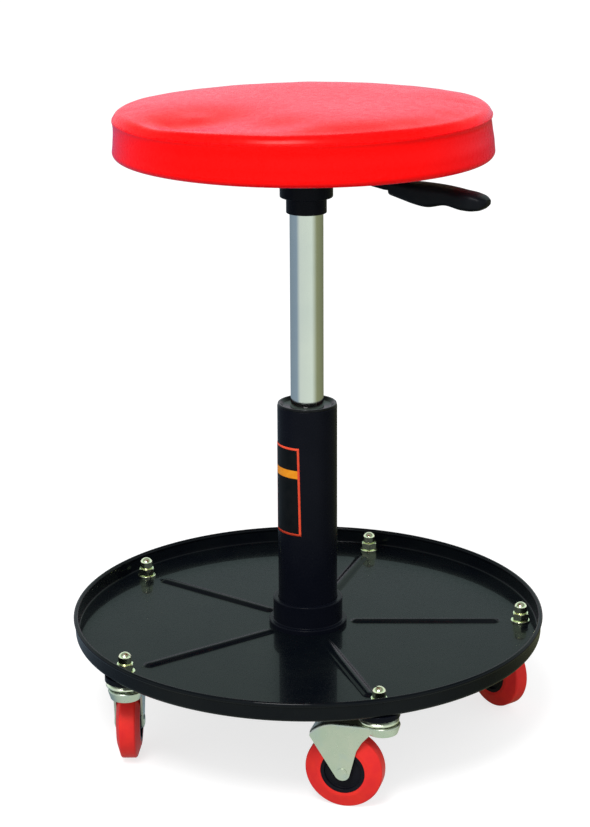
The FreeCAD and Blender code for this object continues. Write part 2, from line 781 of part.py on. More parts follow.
def makeLift():
    # The tube is straight up to its socket and then tapers, outside and inside alike.
    fall = size("taperFall")
    body = newBody("pressure_tube")
    turn(body, "PressureTube", [
        (tubeBore, tubeFoot),
        (tubeRadius, tubeFoot),
        (tubeRadius, socketFoot),
        (tubeRadius - fall, tubeTop),
        (tubeBore - fall, tubeTop),
        (tubeBore, socketFoot),
    ])
    body = newBody("rod_guide")
    plug = tubeBore - seatGap
    pushDisc(body, "RodGuide", tubeFoot, size("rodGuideHeight"), plug, rodRadius + runGap)
    body = newBody("cylinder_liner")
    liner = size("linerRadius")
    pushDisc(body, "Liner", guideTop, valveFoot - guideTop, liner, liner - size("linerWall"))
    body = newBody("valve_body")
    bore = size("pinRadius") + runGap
    boreFoot = valveFoot + size("valveFloor")
    turn(body, "ValveBody", [
        (zero, valveFoot),
        (plug, valveFoot),
        (plug, socketFoot),
        (plug - fall, tubeTop),
        (bore, tubeTop),
        (bore, boreFoot),
        (zero, boreFoot),
    ])
    body = newBody("valve_pin")
    pin = size("pinRadius")
    chamfer = size("pinChamfer")
    turn(body, "ValvePin", [
        (zero, pinFoot),
        (pin, pinFoot),
        (pin, pinTop - chamfer),
        (pin - chamfer, pinTop),
        (zero, pinTop),
    ])


def makeSocket():
    body = newBody("taper_socket")
    chamber = size("socketChamber")
    shoulder = socketFoot + size("socketLowHeight")
    outer = size("socketHighRadius")
    bore = tubeRadius + seatGap
    turn(body, "TaperSocket", [
        (bore, socketFoot),
        (size("socketLowRadius"), socketFoot),
        (size("socketLowRadius"), shoulder),
        (outer, shoulder),
        (outer, socketTop),
        (chamber, socketTop),
        (chamber, tubeTop),
        (bore - size("taperFall"), tubeTop),
    ])
    # The slot that the lever reaches through, to the valve pin.
    slot = newSketch(body, "LeverSlotOutline", "YZ_Plane")
    half = size("slotWidth") / 2
    low = leverHeight - size("slotDrop")
    high = leverHeight + size("slotRise")
    drawOutline(slot, [(-half, low), (half, low), (half, high), (-half, high)])
    push(body, "LeverSlot", slot, outer + overrun, kind="Pocket", reverse=True)
    putAt(body, zero, zero, zero, turned(leverTurn))


def makeSeatPlate():
    body = newBody("seat_plate")
    half = size("plateSide") / 2
    near = half - size("plateCorner")
    sketch = newSketch(body, "SeatPlateOutline", "XY_Plane", socketTop)
    drawOutline(sketch, [
        (-near, -half, -near, -near),
        (near, -half),
        (half, -near, near, -near),
        (half, near),
        (near, half, near, near),
        (-near, half),
        (-half, near, -near, near),
        (-half, -near),
    ])
    push(body, "SeatPlate", sketch, size("plateGauge"))
    reach = size("plateBoltReach")
    corner = (reach, reach)
    depth = size("plateGauge") + overrun
    hole = boreDown(body, "PlateHole", boardFoot, depth, size("boltHole"), corner)
    polar(body, "PlateHoles", [hole], plateBolts)

    bolt = size("boltRadius")
    washerFoot = socketTop - size("boltWasherHeight")
    headFoot = washerFoot - size("boltHeadHeight")
    body = newBody("plate_bolts")
    height = size("boltHeadHeight")
    head = pushHexagon(body, "BoltHead", headFoot, height, size("boltHeadAcross"), corner)
    shank = pushDisc(body, "BoltShank", washerFoot, size("boltLength"), bolt, centre=corner)
    polar(body, "PlateBolts", [head, shank], plateBolts)
    body = newBody("plate_washers")
    height = size("boltWasherHeight")
    outer = size("boltWasherRadius")
    ring = pushDisc(body, "PlateWasher", washerFoot, height, outer, bolt + seatGap, corner)
    polar(body, "PlateWashers", [ring], plateBolts)

    body = newBody("tee_nuts")
    flangeFoot = boardTop - size("teeFlange")
    barrelFoot = flangeFoot - size("teeBarrel")
    height = size("teeBarrel") + size("teeFlange")
    barrel = size("teeBarrelRadius")
    flange = size("teeRadius")
    thread = bolt + seatGap
    nut = pushDisc(body, "TeeBarrel", barrelFoot, height, barrel, thread, corner)
    rim = pushDisc(body, "TeeFlange", flangeFoot, size("teeFlange"), flange, thread, corner)
    polar(body, "TeeNuts", [nut, rim], plateBolts)

    body = newBody("seat_board")
    pushDisc(body, "Board", boardFoot, size("boardHeight"), boardRadius)
    low = boardFoot.number
    roundEdges(body, "BoardEdge", cushionCorner, lambda edge: edge.BoundBox.ZMax < low + seatGap.number)
    depth = size("boardHeight") + overrun
    hole = boreDown(body, "BoardHole", boardTop, depth, barrel + seatGap, corner)
    polar(body, "BoardHoles", [hole], plateBolts)
    recess = boreDown(body, "BoardRecess", boardTop, size("teeFlange"), flange + seatGap, corner)
    polar(body, "BoardRecesses", [recess], plateBolts)


# The cushion's outline, seen from the side. Its side is drawn in by one arc between the
# lower corner and the seam. Its top is flat in the middle and falls in a shallow crown,
# which runs into the edge's arc without a corner, and that gives the crown's radius.
gauge = size("coverGauge")
sideRadius = size("sideRadius")
seamReach = sideRadius + size("seamStand")
coverFoot = boardFoot - gauge
cornerHeight = coverFoot + size("cornerRound")
cushionCorner = size("cornerRound") - gauge
seamHeight = boardFoot + size("seamRise")
lipFoot = seamHeight - size("seamLip")
lipTop = seamHeight + size("seamLip")
halfSide = (lipFoot - cornerHeight) / 2
sideMiddle = cornerHeight + halfSide
sideBow = (halfSide * halfSide / size("sideDraw") + size("sideDraw")) / 2
sideCentre = sideRadius - size("sideDraw") + sideBow
edge = size("edgeRound")
edgeCentre = sideRadius - edge
crownTop = boardFoot + size("cushionHeight")
crownDrop = crownTop - seamHeight
crownFlat = size("crownFlat")
crownReach = edgeCentre - crownFlat
crown = (crownReach * crownReach + crownDrop * crownDrop - edge * edge) / 2 / (crownDrop - edge)
boardRadius = sideRadius - size("sideDraw") - gauge - seatGap


def crownPoint(skin):
    # Where the crown meets the edge's arc, on the surface that lies a skin inside. Both
    # centres and this point are in one line.
    share = (crown - skin) / (crown - edge)
    return crownFlat + crownReach * share, crownTop - crown + (crown - crownDrop) * share


def makeCover():
    turnIn = sideRadius - size("coverTurnIn")
    near = sideRadius - size("cornerRound")
    body = newBody("cover_band")
    turn(body, "CoverBand", [
        (sideRadius - gauge, seamHeight),
        (seamReach, seamHeight),
        (seamReach, lipFoot),
        (sideRadius, lipFoot),
        (sideRadius, cornerHeight, sideCentre, sideMiddle),
        (near, coverFoot, near, cornerHeight),
        (turnIn, coverFoot),
        (turnIn, boardFoot),
        (near, boardFoot),
        (sideRadius - gauge, cornerHeight, near, cornerHeight),
        (sideRadius - gauge, lipFoot, sideCentre - gauge, sideMiddle),
    ])
    body = newBody("cover_top")
    lip = size("seamLip")
    turn(body, "CoverTop", [
        (sideRadius - gauge, seamHeight, edgeCentre, seamHeight),
        (seamReach, seamHeight),
        (seamReach, lipTop),
        (edgeCentre + root(edge * edge - lip * lip), lipTop),
        (*crownPoint(zero), edgeCentre, seamHeight),
        (crownFlat, crownTop, crownFlat, crownTop - crown),
        (zero, crownTop),
        (zero, crownTop - gauge),
        (crownFlat, crownTop - gauge),
        (*crownPoint(gauge), crownFlat, crownTop - crown),
    ])
    # The foam fills the cover over the board.
    body = newBody("seat_foam")
    skin = gauge + seatGap
    centre = sideCentre - skin
    rise = sideMiddle - boardTop
    turn(body, "SeatFoam", [
        (zero, boardTop),
        (centre - root(sideBow * sideBow - rise * rise), boardTop),
        (sideRadius - skin, lipFoot, centre, sideMiddle),
        (sideRadius - skin, seamHeight),
        (*crownPoint(skin), edgeCentre, seamHeight),
        (crownFlat, crownTop - skin, crownFlat, crownTop - crown),
        (zero, crownTop - skin),
    ])
    body = newBody("cover_staples")
    height = size("stapleHeight")
    half = size("stapleWire") / 2
    long = size("stapleCrown") / 2
    ring = sideRadius - size("stapleSetback")
    sketch = newSketch(body, "StapleOutline", "XY_Plane", coverFoot - height)
    drawOutline(sketch, [
        (ring - half, -long),
        (ring + half, -long),
        (ring + half, long),
        (ring - half, long),
    ])
    staple = push(body, "Staple", sketch, height)
    polar(body, "Staples", [staple], stapleCount)


def makeLeverBracket():
    body = newBody("lever_bracket")
    inner = size("bracketInner")
    outer = size("bracketOuter")
    foot = socketTop - size("bracketDrop")
    half = (outer - inner) / 2
    middle = inner + half
    web = socketTop - size("bracketWeb")
    ears = newSketch(body, "BracketOutline", "XZ_Plane")
    drawOutline(ears, [
        (inner, foot + half),
        (middle, foot, middle, foot + half),
        (outer, foot + half, middle, foot + half),
        (outer, socketTop),
        (inner, socketTop),
    ])
    push(body, "Bracket", ears, size("bracketWidth"), midplane=True)
    inside = newSketch(body, "BracketInsideOutline", "XZ_Plane")
    drawOutline(inside, [
        (inner - overrun, foot - overrun),
        (outer + overrun, foot - overrun),
        (outer + overrun, web),
        (inner - overrun, web),
    ])
    gap = size("bracketWidth") - size("bracketEar") * 2
    push(body, "BracketInside", inside, gap, kind="Pocket", midplane=True)
    hole = newSketch(body, "BracketHoleCircle", "XZ_Plane")
    drawCircle(hole, size("pivotRadius") + seatGap, size("pivotReach"), leverHeight)
    width = size("bracketWidth") + overrun * 2
    push(body, "BracketHole", hole, width, kind="Pocket", midplane=True)
    putAt(body, zero, zero, zero, turned(leverTurn))
    body = newBody("lever_pin")
    pin = size("pivotRadius")
    head = size("pivotHeadRadius")
    long = size("bracketWidth") / 2
    end = long + size("pivotHeadHeight")
    turn(body, "LeverPin", [
        (-end, zero),
        (end, zero),
        (end, head),
        (long, head),
        (long, pin),
        (-long, pin),
        (-long, head),
        (-end, head),
    ], plane="YZ_Plane", lying=True)
    reach = size("pivotReach")
    away = asSize(leverTurn)
    putAt(body, reach * cosine(away), reach * sine(away), leverHeight, turned(leverTurn))


# The rod of the lever runs level over the valve pin and through its pivot, turns down in
# a crank of two bends, and goes on at a slight slope into the handle.
bend = size("crankRound")
steep = size("crankAngle")
slope = size("leverSlope")
bendEnd = (size("crankReach") + bend * sine(steep), bend * cosine(steep) - bend)
crankEnd = (
    bendEnd[0] + size("crankRun") * cosine(steep),
    bendEnd[1] - size("crankRun") * sine(steep),
)
backCentre = (crankEnd[0] + bend * sine(steep), crankEnd[1] + bend * cosine(steep))
backEnd = (backCentre[0] - bend * sine(slope), backCentre[1] - bend * cosine(slope))
handleRoot = (
    backEnd[0] + size("handleSetback") * cosine(slope),
    backEnd[1] - size("handleSetback") * sine(slope),
)
rodEnd = (
    handleRoot[0] + size("leverGrip") * cosine(slope),
    handleRoot[1] - size("leverGrip") * sine(slope),
)


def makeLever():
    body = newBody("lever_rod")
    tail = -size("leverTail")
    radius = size("leverRodRadius")
    path = newSketch(body, "LeverPath", "XZ_Plane")
    drawOutline(path, [
        (tail, zero),
        (size("crankReach"), zero),
        (*bendEnd, size("crankReach"), -bend),
        crankEnd,
        (*backEnd, *backCentre),
        rodEnd,
    ], closed=False)
    section = newSketch(body, "LeverSection", "YZ_Plane", tail)
    drawCircle(section, radius)
    rod = addFeature(body, "AdditivePipe", "LeverRod")
    rod.Profile = section
    rod.Spine = path
    finishFeature(body, rod)
    hole = newSketch(body, "LeverHoleCircle", "XZ_Plane")
    drawCircle(hole, size("pivotRadius") + runGap, size("pivotReach"), zero)
    width = (radius + overrun) * 2
    push(body, "LeverHole", hole, width, kind="Pocket", midplane=True)
    putAt(body, zero, zero, leverHeight, turned(leverTurn))

    body = newBody("lever_handle")
    sections = []
    for along, width, rise, drop in handleSectionShares:
        half = size("handleWidth") / 2 * width
        top = size("handleRise") * rise
        low = -size("handleDrop") * drop
        corner = (top - low) * handleCornerShare
        sketch = newSketch(body, "HandleSection", "YZ_Plane", size("handleLength") * along)
        drawOutline(sketch, [
            (-half + corner, low, -half + corner, low + corner),
            (half - corner, low),
            (half, low + corner, half - corner, low + corner),
            (half, top - corner),
            (half - corner, top, half - corner, top - corner),
            (-half + corner, top),
            (-half, top - corner, -half + corner, top - corner),
            (-half, low + corner),
        ])
        sections.append(sketch)
    handle = addFeature(body, "AdditiveLoft", "Handle")
    handle.Profile = sections[0]
    handle.Sections = sections[1:]
    finishFeature(body, handle)
    bore = newSketch(body, "HandleBoreCircle", "YZ_Plane", -overrun)
    drawCircle(bore, radius + seatGap)
    push(body, "HandleBore", bore, size("leverGrip") + seatGap + overrun, kind="Pocket", reverse=True)
    away = asSize(leverTurn)
    rotation = turned(leverTurn).multiply(Rotation(Vector(0, 1, 0), slope.number))
    across = handleRoot[0] * cosine(away)
    along = handleRoot[0] * sine(away)
    putAt(body, across, along, leverHeight + handleRoot[1], rotation)


def makeCasterMounts():
    # What holds the five casters on the tray: one of each kind per caster.
    at = (casterRing, zero)
    stem = size("stemRadius")
    headTop = forkTop - size("forkGauge") - runGap
    headFoot = headTop - size("stemHeadHeight")
    body = newBody("caster_stems")
    outline = [
        (casterRing, headFoot),
        (casterRing + size("stemHeadRadius"), headFoot),
        (casterRing + size("stemHeadRadius"), headTop),
        (casterRing + stem, headTop),
        (casterRing + stem, capRoof - seatGap),
        (casterRing, capRoof - seatGap),
    ]
    polar(body, "Stems", [turn(body, "Stem", outline, centre=casterRing)], casterCount)

    body = newBody("caster_races")
    ceiling = forkTop + runGap * 2 + size("casterBallRadius") * 2
    rim = casterRing + size("raceRadius")
    bowl = rim - size("raceGauge")
    middle = casterRing + size("raceHubRadius")
    outline = [
        (casterRing + stemHole, forkTop + runGap),
        (middle, forkTop + runGap),
        (middle, ceiling),
        (bowl - size("raceGauge"), ceiling),
        (bowl, raceFoot),
        (rim, raceFoot),
        (rim, ceiling),
        (casterRing + size("raceCrownRadius"), raceTop),
        (casterRing + stemHole, raceTop),
    ]
    polar(body, "Races", [turn(body, "Race", outline, centre=casterRing)], casterCount)

    body = newBody("caster_balls")
    radius = size("casterBallRadius")
    centre = casterRing + size("casterBallCircle")
    seed = turn(body, "CasterBall", ballOutline(centre, forkTop + runGap + radius, radius), centre=centre)
    around = newSketch(body, "CasterAxis", "XZ_Plane")
    drawAxis(around, (casterRing, zero), (casterRing, forkTop))
    both = addFeature(body, "MultiTransform", "CasterBalls")
    both.Originals = [seed]
    bearing = addFeature(body, "PolarPattern", "BallsInRace")
    bearing.Axis = (around, ["Axis0"])
    bearing.Angle = 360
    bearing.Occurrences = casterBallCount
    races = addFeature(body, "PolarPattern", "RacesOnTray")
    races.Axis = (originPart(body, "Z_Axis"), [""])
    races.Angle = 360
    races.Occurrences = casterCount
    both.Transformations = [bearing, races]
    finishFeature(body, both)

    for label, feature, foot, height, outer in (
        ("caster_spacers", "Spacer", raceTop, size("spacerHeight"), size("spacerRadius")),
        ("caster_washers", "Washer", trayFloor, size("washerHeight"), size("washerRadius")),
    ):
        body = newBody(label)
        ring = pushDisc(body, feature, foot, height, outer, stemHole, at)
        polar(body, feature + "s", [ring], casterCount)

    # The corners of each nut are turned off at the top.
    body = newBody("caster_nuts")
    across = size("nutAcross")
    hexagon = pushHexagon(body, "Nut", washerTop, size("nutHeight"), across, at)
    hole = boreDown(body, "NutHole", nutTop, size("nutHeight") + overrun, stemHole, at)
    flat = across / 2
    fall = flat / cosine(180 / hexSides) - flat
    outline = [
        (casterRing + flat, nutTop),
        (casterRing + flat + fall * 2, nutTop - fall),
        (casterRing + flat + fall * 2, nutTop + overrun),
        (casterRing + flat, nutTop + overrun),
    ]
    corners = turn(body, "NutCorners", outline, centre=casterRing, kind="Groove")
    polar(body, "Nuts", [hexagon, hole, corners], casterCount)

    body = newBody("caster_cap_nuts")
    cap = size("capRadius")
    dome = size("capDomeHeight")
    domeRadius = (cap * cap / dome + dome) / 2
    outline = [
        (casterRing + stemHole, nutTop),
        (casterRing + cap, nutTop),
        (casterRing + cap, capTop - dome),
        (casterRing, capTop, casterRing, capTop - domeRadius),
        (casterRing, capRoof),
        (casterRing + stemHole, capRoof),
    ]
    polar(body, "CapNuts", [turn(body, "CapNut", outline, centre=casterRing)], casterCount)


def makeForkBody(label):
    # A fork pressed from sheet. Its legs and top share one side outline: level from the
    # nose, then a tangent arc down to the rear edge, a straight edge down to the round
    # end at the axle, and a waisted front edge up to the nose. Where a straight edge
    # leaves the round end follows from the tangent of a point to a circle. The nose is
    # turned round an axis a little ahead of the swivel axis.
    body = newBody(label)
    trail = size("casterTrail")
    sheetGauge = size("forkGauge")
    shoulder = size("forkShoulderReach")
    tail = size("forkTailReach")
    fall = size("forkTailDrop")
    run = tail - shoulder
    arc = (run * run / fall + fall) / 2
    end = size("legEndRadius")
    rear = (tail, forkTop - fall - size("forkTailDepth"))
    waist = (size("legWaistReach"), axleHeight + size("legWaistRise"))
    skirtFoot = forkTop - size("forkSkirt")

    def leaving(point, side):
        across = point[0] - trail
        up = point[1] - axleHeight
        away = root(across * across + up * up)
        angle = bearing(up, across) + arcCosine(end / away) * side
        return trail + end * cosine(angle), axleHeight + end * sine(angle)

    outline = [
        (zero, skirtFoot),
        (zero, forkTop),
        (shoulder, forkTop),
        (tail, forkTop - fall, shoulder, forkTop - arc),
        rear,
        leaving(rear, -1),
        (*leaving(waist, 1), trail, axleHeight),
        waist,
        (size("legRootReach"), axleHeight + size("legRootRise")),
        (size("legRootReach") / 2, skirtFoot),
    ]
    side = newSketch(body, "ForkOutline", "XZ_Plane")
    drawOutline(side, outline)
    push(body, "Fork", side, size("forkWidth"), midplane=True)
    half = size("forkWidth").number / 2
    crest = (forkTop - fall).number

    def onTopEdge(line):
        box = line.BoundBox
        outside = abs(abs(box.YMin) - half) < seatGap.number and box.YLength < seatGap.number
        return outside and box.ZMin > crest - seatGap.number and box.XLength > seatGap.number

    roundEdges(body, "ForkRound", size("forkEdgeRound"), onTopEdge)
    inside = newSketch(body, "ForkInsideOutline", "XZ_Plane")
    within = (arc - sheetGauge) / arc
    under = axleHeight - end - overrun
    inner = (shoulder + run * within, forkTop - arc + (arc - fall) * within)
    drawOutline(inside, [
        (-overrun, forkTop - sheetGauge),
        (shoulder, forkTop - sheetGauge),
        (*inner, shoulder, forkTop - arc),
        (inner[0], under),
        (-overrun, under),
    ])
    gap = size("forkWidth") - sheetGauge * 2
    push(body, "ForkInside", inside, gap, kind="Pocket", midplane=True)
    lead = -size("forkHeadLead")
    nose = lead + size("forkHeadRadius")
    draft = size("forkSkirtDraft")
    turn(body, "ForkNose", [
        (lead, forkTop - sheetGauge),
        (nose - sheetGauge, forkTop - sheetGauge),
        (nose - sheetGauge - draft, skirtFoot),
        (nose - draft, skirtFoot),
        (nose, forkTop - sheetGauge),
        (nose - sheetGauge, forkTop, nose - sheetGauge, forkTop - sheetGauge),
        (lead, forkTop),
    ], centre=lead)
    boreDown(body, "ForkStemHole", forkTop, sheetGauge + overrun, size("stemRadius") + runGap)
    hole = newSketch(body, "ForkAxleCircle", "XZ_Plane")
    drawCircle(hole, size("axleRadius") + seatGap, trail, axleHeight)
    width = size("forkWidth") + overrun * 2
    push(body, "ForkAxleHole", hole, width, kind="Pocket", midplane=True)
    return body


def makeAxleBody(label):
    body = newBody(label)
    pin = size("axleRadius")
    head = size("axleHeadRadius")
    chamfer = size("axleHeadChamfer")
    long = size("forkWidth") / 2
    end = long + size("axleHeadHeight")
    turn(body, "Axle", [
        (-end, zero),
        (end, zero),
        (end, head - chamfer),
        (end - chamfer, head),
        (long, head),
        (long, pin),
        (-long, pin),
        (-long, head),
        (chamfer - end, head),
        (-end, head - chamfer),
    ], plane="YZ_Plane", lying=True)
    return body


def mirrored(outline):
    return outline + [(-across, up) for across, up in reversed(outline)]


def makeHubBody(label):
    body = newBody(label)
    bore = size("axleRadius") + runGap
    wide = size("hubWidth") / 2
    radius = size("hubRadius")
    dish = wide - size("hubRecess")
    rimFoot = radius - size("hubRimWall")
    boss = size("hubBossRadius")
    rimWide = size("tyreSideWidth") / 2
    turn(body, "WheelHub", mirrored([
        (wide, bore),
        (wide, boss),
        (dish, boss),
        (dish, rimFoot),
        (rimWide, rimFoot),
        (rimWide, radius),
    ]), plane="YZ_Plane", lying=True)
    return body


def makeTyreBody(label):
    body = newBody(label)
    radius = size("wheelRadius")
    side = size("tyreSideWidth") / 2
    shoulder = radius - size("tyreShoulderDrop")
    turn(body, "Tyre", mirrored([
        (side, size("hubRadius") + seatGap),
        (side, size("tyreSideRadius")),
        (size("tyreShoulderWidth") / 2, shoulder),
        (size("tyreTreadWidth") / 2, radius),
    ]), plane="YZ_Plane", lying=True)
    return body


def makeCasters():
    trail = size("casterTrail")
    for index, (name, way) in enumerate(casterTrailAngles):
        angle = asSize(360 * index / casterCount)
        across = casterRing * cosine(angle)
        along = casterRing * sine(angle)
        fork = makeForkBody("fork_" + name)
        putAt(fork, across, along, zero, turned(way))
        across = across + trail * cosine(asSize(way))
        along = along + trail * sine(asSize(way))
        for body in (
            makeAxleBody("axle_" + name),
            makeHubBody("wheel_hub_" + name),
            makeTyreBody("tyre_" + name),
        ):
            putAt(body, across, along, axleHeight, turned(way))


makeTray()
makeHub()
makeColumn()
makeThrustBearing()
makeRod()
makeLift()
makeSocket()
makeSeatPlate()
makeCover()
makeLeverBracket()
makeLever()
makeCasterMounts()
makeCasters()
document.recompute()

for item in document.Objects:
    for fault in ("Invalid", "Error"):
        if fault in item.State:
            raise ValueError("%s is %s" % (item.Label, fault))

pieces = [item for item in document.Objects if item.TypeId == "PartDesign::Body"]
for piece in pieces:
    shape = piece.Shape
    if shape.isNull() or not shape.isValid() or not shape.Solids:
        raise ValueError("%s has no sound shape" % piece.Label)
for piece in pieces:
    piece.Shape.exportStep(os.path.join("parts", piece.Label + ".step"))
    box = piece.Shape.BoundBox
    print("%-22s solids %2d volume %10.1f z %7.2f to %7.2f" % (
        piece.Label, len(piece.Shape.Solids), piece.Shape.Volume, box.ZMin, box.ZMax))
print("pieces", len(pieces))
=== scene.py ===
import json
import math

import bmesh
import bpy
import numpy as np
from mathutils import Matrix, Vector


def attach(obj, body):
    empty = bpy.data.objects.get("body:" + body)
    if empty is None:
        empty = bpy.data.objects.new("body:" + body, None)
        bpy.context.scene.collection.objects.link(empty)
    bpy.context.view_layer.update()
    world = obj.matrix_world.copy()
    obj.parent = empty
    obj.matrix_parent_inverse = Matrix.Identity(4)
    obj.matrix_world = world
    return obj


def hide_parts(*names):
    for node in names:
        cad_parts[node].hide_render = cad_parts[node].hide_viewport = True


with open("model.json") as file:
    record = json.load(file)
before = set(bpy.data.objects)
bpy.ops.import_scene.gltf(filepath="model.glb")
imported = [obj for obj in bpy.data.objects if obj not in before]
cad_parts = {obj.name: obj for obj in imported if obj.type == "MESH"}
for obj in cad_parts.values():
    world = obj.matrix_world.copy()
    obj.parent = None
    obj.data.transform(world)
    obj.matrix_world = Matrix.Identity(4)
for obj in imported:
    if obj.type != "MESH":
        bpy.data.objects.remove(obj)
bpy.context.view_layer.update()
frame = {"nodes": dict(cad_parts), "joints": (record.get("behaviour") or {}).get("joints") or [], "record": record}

# A mechanic's roller seat, dressed for its portrait. Everything is in metres, in the
# frame of the solids: floor at z 0, column on the z axis, lever at -30 degrees from x.
# Shapes are written in millimetres and multiplied by mm at the end.
nodes = frame["nodes"]
joints = {joint["name"]: joint for joint in frame["joints"]}
mm = 0.001
mergeDistance = 1e-6    # metres
casterNames = ["right", "rear_right", "rear_left", "front_left", "front_right"]

cameraView = {
    "place": (0.01225, -1.6583, 0.7770),
    "turn": 0.78,           # degrees round the column from straight in front
    "pitchDown": 16.795,    # degrees below level
    "roll": 0.3225,         # the picture's right side stands a little high
    "focalPixels": 2047.8,
    "pictureHeight": 827,
    "sensor": 36,           # mm
    "clip": (0.05, 50),     # metres
}


def placeObject(name, data):
    # A new object at the origin, linked into the scene.
    thing = bpy.data.objects.new(name, data)
    bpy.context.scene.collection.objects.link(thing)
    return thing


def makeCamera(values):
    # The lens is the sensor's size times the focal length in pixels over the picture's
    # height in pixels. The camera is rolled, then pitched down, then turned, then placed.
    data = bpy.data.cameras.new("portraitCamera")
    data.sensor_width = values["sensor"]
    data.lens = values["sensor"] * values["focalPixels"] / values["pictureHeight"]
    data.clip_start, data.clip_end = values["clip"]
    camera = placeObject("portraitCamera", data)
    tilt = Matrix.Rotation(math.radians(90 - values["pitchDown"]), 4, "X")
    roll = Matrix.Rotation(-math.radians(values["roll"]), 4, "Z")
    turn = Matrix.Rotation(math.radians(values["turn"]), 4, "Z")
    camera.matrix_world = Matrix.Translation(values["place"]) @ turn @ tilt @ roll
    bpy.context.scene.camera = camera
    print("camera set")


makeCamera(cameraView)


# Shapes. Every surface is a grid of points, shape (rows, columns, 3).

stepsRound = {"tube": 128, "socket": 120, "tyre": 112, "hub": 80, "rivet": 48, "ring": 72, "cap": 56,
              "rod": 40, "grip": 72, "foam": 180}
rounding = {
    "most": 0.45,                   # of the shorter side, that an arc may take up
    "support": (0.35, 0.04),        # a support point's distance, of the arc's and of the side's
    "flattest": math.radians(89),   # half angle past which a corner counts as straight
}


def gridMesh(name, points, wrapRows=False, wrapColumns=False):
    # Point (row, column) joins its neighbours at row + 1 and column + 1 in a quad. A
    # wrapped grid joins its last row or column to its first.
    rows, columns = points.shape[:2]
    index = np.arange(rows * columns).reshape(rows, columns)
    if wrapRows:
        index = np.vstack([index, index[:1]])
    if wrapColumns:
        index = np.hstack([index, index[:, :1]])
    quads = np.stack([index[:-1, :-1], index[1:, :-1], index[1:, 1:], index[:-1, 1:]], axis=-1)
    quads = quads.reshape(-1, 4)
    mesh = bpy.data.meshes.new(name)
    mesh.vertices.add(rows * columns)
    mesh.vertices.foreach_set("co", np.ascontiguousarray(points, dtype=np.float32).ravel())
    mesh.loops.add(quads.size)
    mesh.loops.foreach_set("vertex_index", quads.ravel().astype(np.int32))
    mesh.polygons.add(len(quads))
    mesh.polygons.foreach_set("loop_start", np.arange(0, quads.size, 4, dtype=np.int32))
    mesh.update(calc_edges=True)
    mesh.validate()
    return mesh


def settleMesh(mesh):
    # Merges the points of seams and poles, and turns a closed mesh's faces outwards by the
    # sign of the volume they enclose.
    work = bmesh.new()
    work.from_mesh(mesh)
    bmesh.ops.remove_doubles(work, verts=work.verts, dist=mergeDistance)
    if work.calc_volume(signed=True) < 0:
        bmesh.ops.reverse_faces(work, faces=work.faces)
    work.to_mesh(mesh)
    work.free()
    return mesh


def joinMeshes(name, meshes):
    # One mesh out of several, point lists laid end to end.
    work = bmesh.new()
    for mesh in meshes:
        work.from_mesh(mesh)
        bpy.data.meshes.remove(mesh)
    whole = bpy.data.meshes.new(name)
    work.to_mesh(whole)
    work.free()
    return whole


def pointsOf(mesh):
    # A mesh's points in metres, one row each.
    points = np.zeros(len(mesh.vertices) * 3)
    mesh.vertices.foreach_get("co", points)
    return points.reshape(-1, 3)


def shapedMesh(piece):
    # A mesh of the piece as its modifiers leave it.
    return bpy.data.meshes.new_from_object(piece.evaluated_get(bpy.context.evaluated_depsgraph_get()))


def smoothMesh(mesh, angle=32):
    # Smooth shading, but for edges sharper than the angle in degrees.
    mesh.shade_smooth()
    mesh.set_sharp_from_angle(angle=math.radians(angle))
    return mesh


def softProfile(corners, closed=True, steps=5):
    # A profile of (radius, height, size of the rounding) corners. Each rounding is an arc
    # tangent to both sides: its centre lies on the corner's bisector at size / sin(half angle).
    # A support point beside each end of the arc keeps the flats flat in the shading.
    corners = [tuple(map(float, corner)) for corner in corners]
    count = len(corners)
    out = []
    for index, (r, z, size) in enumerate(corners):
        here = np.array([r, z])
        openEnd = not closed and index in (0, count - 1)
        if openEnd or size <= 0:
            out.append(here[None])
            continue
        before = np.array(corners[index - 1][:2]) - here
        after = np.array(corners[(index + 1) % count][:2]) - here
        reach = min(np.linalg.norm(before), np.linalg.norm(after))
        before = before / np.linalg.norm(before)
        after = after / np.linalg.norm(after)
        half = math.acos(np.clip(before @ after, -1, 1)) / 2
        if half > rounding["flattest"]:
            out.append(here[None])
            continue
        away = min(size / math.tan(half), reach * rounding["most"])
        radius = away * math.tan(half)
        bisector = (before + after) / np.linalg.norm(before + after)
        centre = here + bisector * radius / math.sin(half)
        first = here + before * away - centre
        last = here + after * away - centre
        start = math.atan2(first[1], first[0])
        sweep = math.atan2(last[1], last[0]) - start
        sweep = (sweep + math.pi) % (2 * math.pi) - math.pi
        turn = start + sweep * np.linspace(0, 1, steps + 1)
        arc = centre + radius * np.stack([np.cos(turn), np.sin(turn)], axis=1)
        step = min(away * rounding["support"][0], reach * rounding["support"][1])
        out += [(here + before * (away + step))[None], arc, (here + after * (away + step))[None]]
    return np.vstack(out)


def arcPoints(centre, radius, start, end, steps):
    # Points of an arc from the start to the end angle, in degrees.
    turn = np.radians(np.linspace(start, end, steps + 1))
    return np.stack([centre[0] + radius * np.cos(turn), centre[1] + radius * np.sin(turn)], axis=1)


def turnedGrid(profile, count):
    # Turns a profile of (radius, height) round the upright axis: each point goes to
    # (radius cos a, radius sin a, height) for count angles a.
    angle = np.linspace(0, 2 * math.pi, count, endpoint=False)[:, None]
    radius = profile[None, :, 0]
    height = np.broadcast_to(profile[None, :, 1], (count, len(profile)))
    return np.stack([radius * np.cos(angle), radius * np.sin(angle), height], axis=-1)


